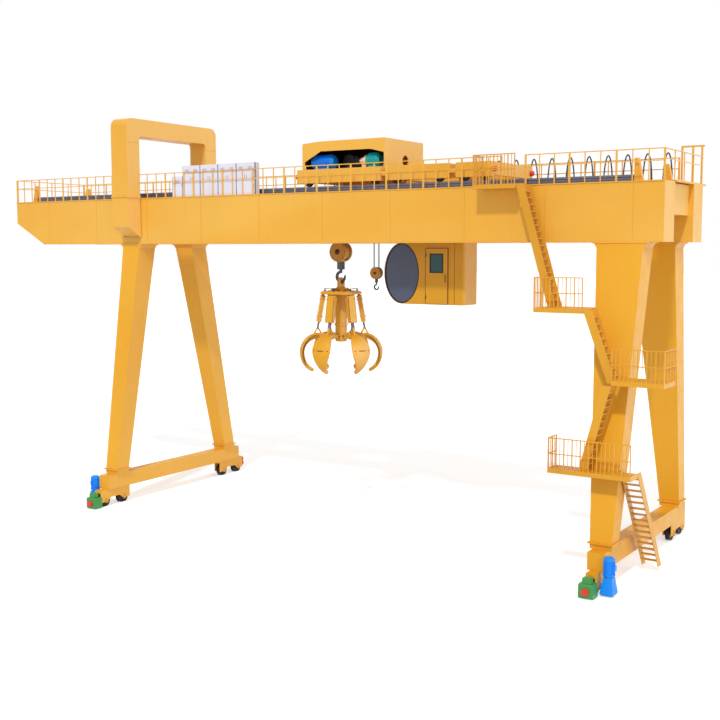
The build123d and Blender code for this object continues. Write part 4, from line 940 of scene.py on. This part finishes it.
def leg_heads():
    """The bolted flange between each leg's head and the girder."""
    made = Build()
    low, high = LEG_FLANGE_Z
    for centre, half in LEG_HEADS:
        reach = half + 0.04
        for side in (-1, 1):
            near, far = side * 1.06, side * (GIRDER_OUTER + 0.03)
            made.box((centre - reach, near, low), (centre + reach, far, high), 0.003)
            count = int(half * 2 / 0.17)
            for step in range(count + 1):
                x = centre - half + 2 * half * step / count
                down = facing((x, side * (GIRDER_OUTER + 0.014), low), (0, 0, -1))
                made.bolt(down, 0.012, 0.018)
    made.done("leg_head_flanges", yellow)


def landing_bars():
    """The light bars between the posts of the stair's landings."""
    made = Build()
    half = LANDING_BAR_HALF
    for (x, y, z), (along, across), length in LANDING_PANELS:
        count = max(1, round(length / LANDING_BAR_PITCH))
        for index in range(count):
            reach = length * (index + 0.5) / count
            a, b = x + along * reach, y + across * reach
            top = z + LANDING_BAR_HEIGHT
            made.box((a - half, b - half, z), (a + half, b + half, top))
    made.done("landing_bars", stair_yellow)


# Blocks and ropes
def hoist_ropes(name, hook_body, node, places, low, radius):
    """Stranded ropes from the top down to the low end of the solid ropes that they replace."""
    made = Build()
    steps = 40
    for x, y in places:
        points = [(x, y, low + (ROPE_TOP - low) * step / steps) for step in range(steps + 1)]
        made.tube(points, radius, 10)
    piece = made.done(name, rope, None)
    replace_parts(piece, node)
    x = places[0][0]
    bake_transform(piece)


def block_details():
    """Round cheeks and necks on both blocks, with their hubs and bolts."""
    main, aux, cases, aux_case = (Build() for _ in range(4))
    half = [(0, 0.231), (0.36, 0.231), (0.376, 0.216), (0.376, 0.156), (0.31, 0.15)]
    cases.lathe(mirrored(half), facing((HOOK_X, 0, BLOCK_Z), (0, 1, 0)), 64)
    cases.lathe([(0.12, 9.824), (0.166, 9.824), (0.166, 9.95)], at(HOOK_X, 0, 0), 40)
    half = [(0, 0.111), (0.216, 0.111), (0.226, 0.101), (0.226, 0.074), (0.186, 0.07)]
    aux_case.lathe(mirrored(half), facing((AUX_X, 0, AUX_BLOCK_Z), (0, 1, 0)), 56)
    aux_case.lathe([(0.05, 9.209), (0.076, 9.209), (0.076, 9.27)], at(AUX_X, 0, 0), 32)
    cases.done("block_cheeks", block_yellow, "main_hook_body")
    aux_case.done("aux_block_cheeks", block_yellow, "aux_hook_body")
    hub = [(0.0, 0.052), (0.06, 0.052), (0.07, 0.045), (0.1, 0.04), (0.1, 0.0)]
    aux_hub = [(0.0, 0.03), (0.04, 0.03), (0.045, 0.024), (0.06, 0.02), (0.06, 0.0)]
    for side in (-1, 1):
        place = facing((HOOK_X, side * 0.23, BLOCK_Z), (0, side, 0))
        main.lathe(hub, place, 28)
        main.bolt_circle(place, 8, 0.33, 0.014, 0.02)
        aux.lathe(aux_hub, facing((AUX_X, side * 0.11, AUX_BLOCK_Z), (0, side, 0)), 24)
    main.done("block_hubs", dark, "main_hook_body")
    aux.done("aux_block_hubs", dark, "aux_hook_body")


# Grab
def grab_head_details():
    """The round column and collar, with gussets, fittings and the cylinders' hoses."""
    head, fittings, hoses = Build(), Build(), Build()
    axis = at(HOOK_X, 0, 0)
    column = [(0, 6.779), (0.187, 6.779), (0.226, 6.819), (0.226, 8.821), (0.187, 8.861)]
    head.lathe(column + [(0, 8.861)], axis, 56)
    collar = [(0, 8.604), (0.792, 8.604), (0.801, 8.613), (0.801, 8.655), (0.746, 8.716)]
    head.lathe(collar + [(0, 8.716)], axis, 72)
    head.lathe(barrel(0.256, 0.036, 0.008, 0.2), axis @ at(0, 0, 7.435), 56)
    head.lathe([(0.2, 8.53), (0.3, 8.53), (0.3, 8.604)], axis, 48)
    fitting = [(0.03, 8.71), (0.03, 8.77), (0.02, 8.785), (0.02, 8.83), (0, 8.832)]
    for index in range(TINE_COUNT):
        turn = around(index)
        head.box((0.22, -0.012, 8.715), (0.50, 0.012, 8.745), 0.0, turn)
        head.box((0.22, -0.012, 8.745), (0.36, 0.012, 8.79), 0.0, turn)
        between = turn @ Matrix.Rotation(math.radians(30), 4, "Z")
        for reach, z in ((0.44, 8.716), (0.70, 8.712)):
            head.bolt(between @ at(reach, 0, z), 0.02, 0.026)
        fittings.lathe(fitting, turn @ at(0.62, 0.05, 0), 14)
        points = []
        for step in range(15):
            share = step / 14
            rise = 0.03 * math.sin(math.pi * share) - 0.06 * share
            hose = Vector((0.62 - 0.38 * share, 0.05 - 0.03 * share, 8.80 + rise))
            points.append(turn @ hose)
        hoses.tube(points, 0.014, 8)
    head.done("grab_column", deep_yellow, "main_hook_body")
    fittings.done("grab_fittings", dark, "main_hook_body")
    hoses.done("grab_hoses", black, "main_hook_body")


def grab_details():
    """Heads on the claws' pins, and bands round the cylinders' covers."""
    pins, bands = Build(), Build()
    lean = math.radians(COVER_LEAN)
    for index in range(TINE_COUNT):
        turn = around(index)
        for side in (-1, 1):
            place = facing((PIVOT_RADIUS, side * 0.083, PIVOT_Z), (0, side, 0))
            pins.bolt(turn @ place, 0.026, 0.02)
        for z in (8.40, 7.75):
            reach = COVER_REACH + (COVER_TOP - z) * math.tan(lean)
            tilt = turn @ at(reach, 0, z) @ Matrix.Rotation(-lean, 4, "Y")
            bands.box((-0.121, -0.176, -0.012), (0.121, 0.176, 0.012), 0.004, tilt)
    pins.done("grab_pins", dark, "main_hook_body")
    bands.done("grab_cover_bands", deep_yellow, "main_hook_body")


def leaf_half_width(chord):
    """A claw's half width at one of the chords that its solid is made of."""
    share = 0.05 + 0.95 * chord / TINE_CHORDS
    return max(TINE_HALF_WIDTH * math.sin(math.pi * share**TINE_LEAF_POWER), TINE_TIP_HALF)


def tine_surface(share):
    """A point on a claw's outer face in its middle plane, and the claw's half width there."""
    angle = math.pi / 2 - math.radians(TINE_SWEEP) * share
    reach = TINE_RADIUS + TINE_HALF_THICKNESS - TINE_TAPER * share**2
    drop = TINE_DROP if angle < 0 else 1.0
    point = TINE_CENTRE + Vector((reach * math.cos(angle), 0, reach * drop * math.sin(angle)))
    top = TINE_CENTRE.z + TINE_RADIUS + TINE_HALF_THICKNESS
    passed = (top + 0.01 - point.z) / (top - TINE_LOW + 0.02)
    spot = TINE_CHORDS * min(1.0, max(0.0, passed))
    before = min(TINE_CHORDS - 1, int(spot))
    first, second = leaf_half_width(before), leaf_half_width(before + 1)
    return point, first + (second - first) * (spot - before)


def tine_rows():
    """Rows of points across a claw's outer face, and the loops of its two return flanges."""
    rows, flanges = [], ([], [])
    for step in range(TINE_STEPS + 1):
        share = step / TINE_STEPS
        point, half = tine_surface(share)
        inward = (TINE_CENTRE - point).normalized()
        point = point - inward * 0.002
        depth = 0.03 + 0.08 * math.sin(math.pi * share) ** 0.6
        flat, middle = TINE_FLAT_HALF, (half + TINE_FLAT_HALF) / 2
        row = []
        for y in (-half, -middle, -flat, 0.0, flat, middle, half):
            y = min(half, max(-half, y))
            row.append(point + Vector((-max(0.0, abs(y) - flat) * TINE_LEAN, y, 0)))
        rows.append(row)
        for edge, side, loops in ((row[0], 1, flanges[0]), (row[-1], -1, flanges[1])):
            way = Vector((0, side, 0))
            under = edge + inward * depth + way * min(depth * 0.65, half * 0.8)
            near = edge + way * 0.018 + inward * 0.004
            loops.append([edge, under, under + way * 0.014, near])
    return rows, flanges


def tine_slots():
    """The frames of three slots across a claw's outer face, with where each starts and ends."""
    point, _ = tine_surface(0.475)
    outward = (point - TINE_CENTRE).normalized()
    across = Vector((0, 1, 0))
    tilt = Matrix((across.cross(outward), across, outward)).transposed().to_4x4()
    for low, high in ((-0.13, 0.13), (0.23, 0.31), (-0.31, -0.23)):
        setback = max(0.0, abs(low + high) / 2 - 0.12) * TINE_LEAN
        place = at(*(point + outward * 0.002 - Vector((setback, 0, 0))))
        yield place @ tilt, low, high


def tine_shells():
    """Smooth curved faces over the claws, with return flanges along their edges in a brown that is
    painted shade, and slots as dark bars of painted shade.
    """
    rows, edges = tine_rows()
    for index in range(TINE_COUNT):
        skin, flanges, slots = Build(), Build(), Build()
        turn = around(index)
        skin.loft([[turn @ corner for corner in row] for row in rows], ring=False)
        for loops in edges:
            flanges.loft([[turn @ corner for corner in loop] for loop in loops])
        # Painted shade: each slot is a dark bar laid on the face, standing for the shade inside
        # the slit
        for place, low, high in tine_slots():
            slots.box((-0.014, low, -0.006), (0.014, high, 0.004), 0.0, turn @ place)
        body = f"tine_{index + 1}_body"
        skin.done(f"tine_face_{index + 1}", deep_yellow, body)
        flanges.done(f"tine_flanges_{index + 1}", tine_flange_shade, body)
        slots.done(f"tine_slots_{index + 1}", dark, body)


# Stage
def light_path_white(tree, strength):
    """A strength where the camera, a reflection or glass looks at the background, or else 0."""
    path = tree.nodes.new("ShaderNodeLightPath")
    total = path.outputs["Is Camera Ray"]
    for name in ("Is Glossy Ray", "Is Transmission Ray"):
        add = tree.nodes.new("ShaderNodeMath")
        add.operation = "MAXIMUM"
        tree.links.new(total, add.inputs[0])
        tree.links.new(path.outputs[name], add.inputs[1])
        total = add.outputs["Value"]
    scale = tree.nodes.new("ShaderNodeMath")
    scale.operation = "MULTIPLY"
    scale.inputs[1].default_value = strength
    tree.links.new(total, scale.inputs[0])
    return scale.outputs["Value"]


def studio_light():
    """An even world that looks white, and the lamps."""
    world = bpy.data.worlds.new("studio")
    world.use_nodes = True
    bpy.context.scene.world = world
    tree = world.node_tree
    background = fill(tree.nodes["Background"], Color=WHITE)
    add = tree.nodes.new("ShaderNodeMath")
    add.operation = "ADD"
    add.inputs[1].default_value = AMBIENT
    tree.links.new(light_path_white(tree, 1.0 - AMBIENT), add.inputs[0])
    tree.links.new(add.outputs["Value"], background.inputs["Strength"])
    for name, strength, way, spread in LAMPS:
        data = bpy.data.lights.new(name, "SUN")
        data.energy = strength
        data.angle = math.radians(spread)
        data.color = LAMP_COLOUR
        lamp = bpy.data.objects.new(name, data)
        bpy.context.scene.collection.objects.link(lamp)
        lamp.rotation_euler = Vector(way).to_track_quat("Z", "Y").to_euler()


def pale_floor():
    """A plain pale floor that keeps the crane's shadow."""
    reach = FLOOR_REACH
    mesh = bpy.data.meshes.new("floor")
    corners = [(-reach, -reach, 0), (reach, -reach, 0), (reach, reach, 0), (-reach, reach, 0)]
    mesh.from_pydata(corners, [], [(0, 1, 2, 3)])
    floor = bpy.data.objects.new("floor", mesh)
    bpy.context.scene.collection.objects.link(floor)
    material = bpy.data.materials.new("floor")
    material.use_nodes = True
    tree = material.node_tree
    surface = tree.nodes["Principled BSDF"]
    grey = (FLOOR_GREY, FLOOR_GREY, FLOOR_GREY, 1)
    fill(surface, Base_Color=grey, Roughness=0.9, Specular_IOR_Level=0.0, Emission_Color=WHITE)
    tree.links.new(light_path_white(tree, FLOOR_GLOW), surface.inputs["Emission Strength"])
    mesh.materials.append(material)


def camera():
    """The photograph's viewing angle."""
    data = bpy.data.cameras.new("camera")
    data.sensor_width = SENSOR
    data.lens = SENSOR * FOCAL_PIXELS / PHOTO_PIXELS
    data.clip_end = 2000.0
    view = bpy.data.objects.new("camera", data)
    bpy.context.scene.collection.objects.link(view)
    view.location = CAMERA_PLACE
    turn = Matrix.Rotation(math.radians(CAMERA_AZIMUTH), 4, "Z")
    turn = turn @ Matrix.Rotation(math.radians(90 + CAMERA_PITCH), 4, "X")
    turn = turn @ Matrix.Rotation(math.radians(CAMERA_ROLL), 4, "Z")
    view.rotation_euler = turn.to_euler()
    bpy.context.scene.camera = view
    bpy.context.scene.view_settings.view_transform = "Standard"


dress_frame()
camera()
studio_light()
pale_floor()
girder_seams()
portal_seams()
foot_bolts()
axle_caps()
cabinet_doors()
festoon_hoops()
cab_details()
drives()
hoist_details()
main_places = [(HOOK_X + dx, dy) for dx in (-0.23, 0.23) for dy in (-0.09, 0.09)]
main_ropes = ("main_hoist_ropes", "main_hook_body", "main_ropes", main_places)
hoist_ropes(*main_ropes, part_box("main_ropes")[0][2], ROPE_RADIUS)
aux_places = [(AUX_X + dx, 0.0) for dx in (-0.105, 0.105)]
aux_ropes = ("aux_hoist_ropes", "aux_hook_body", "aux_ropes", aux_places)
hoist_ropes(*aux_ropes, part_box("aux_ropes")[0][2], AUX_ROPE_RADIUS)
block_details()
main_nut, aux_nut = (9.54, 9.8247, 0.1485), (9.06, 9.2097, 0.06)
hook = ("main_hook_forged", "main_hook", "main_hook_body")
turned_hook(*hook, HOOK_X, HOOK_CENTRE, 0.185, 0.065, main_nut)
hook = ("aux_hook_forged", "aux_hook", "aux_hook_body")
turned_hook(*hook, AUX_X, AUX_HOOK_CENTRE, 0.093, 0.031, aux_nut)
grab_head_details()
grab_details()
tine_shells()
girder_wheels()
pads()
hoist_turning()
drive_turning()
portal_flanges()
leg_heads()
landing_bars()
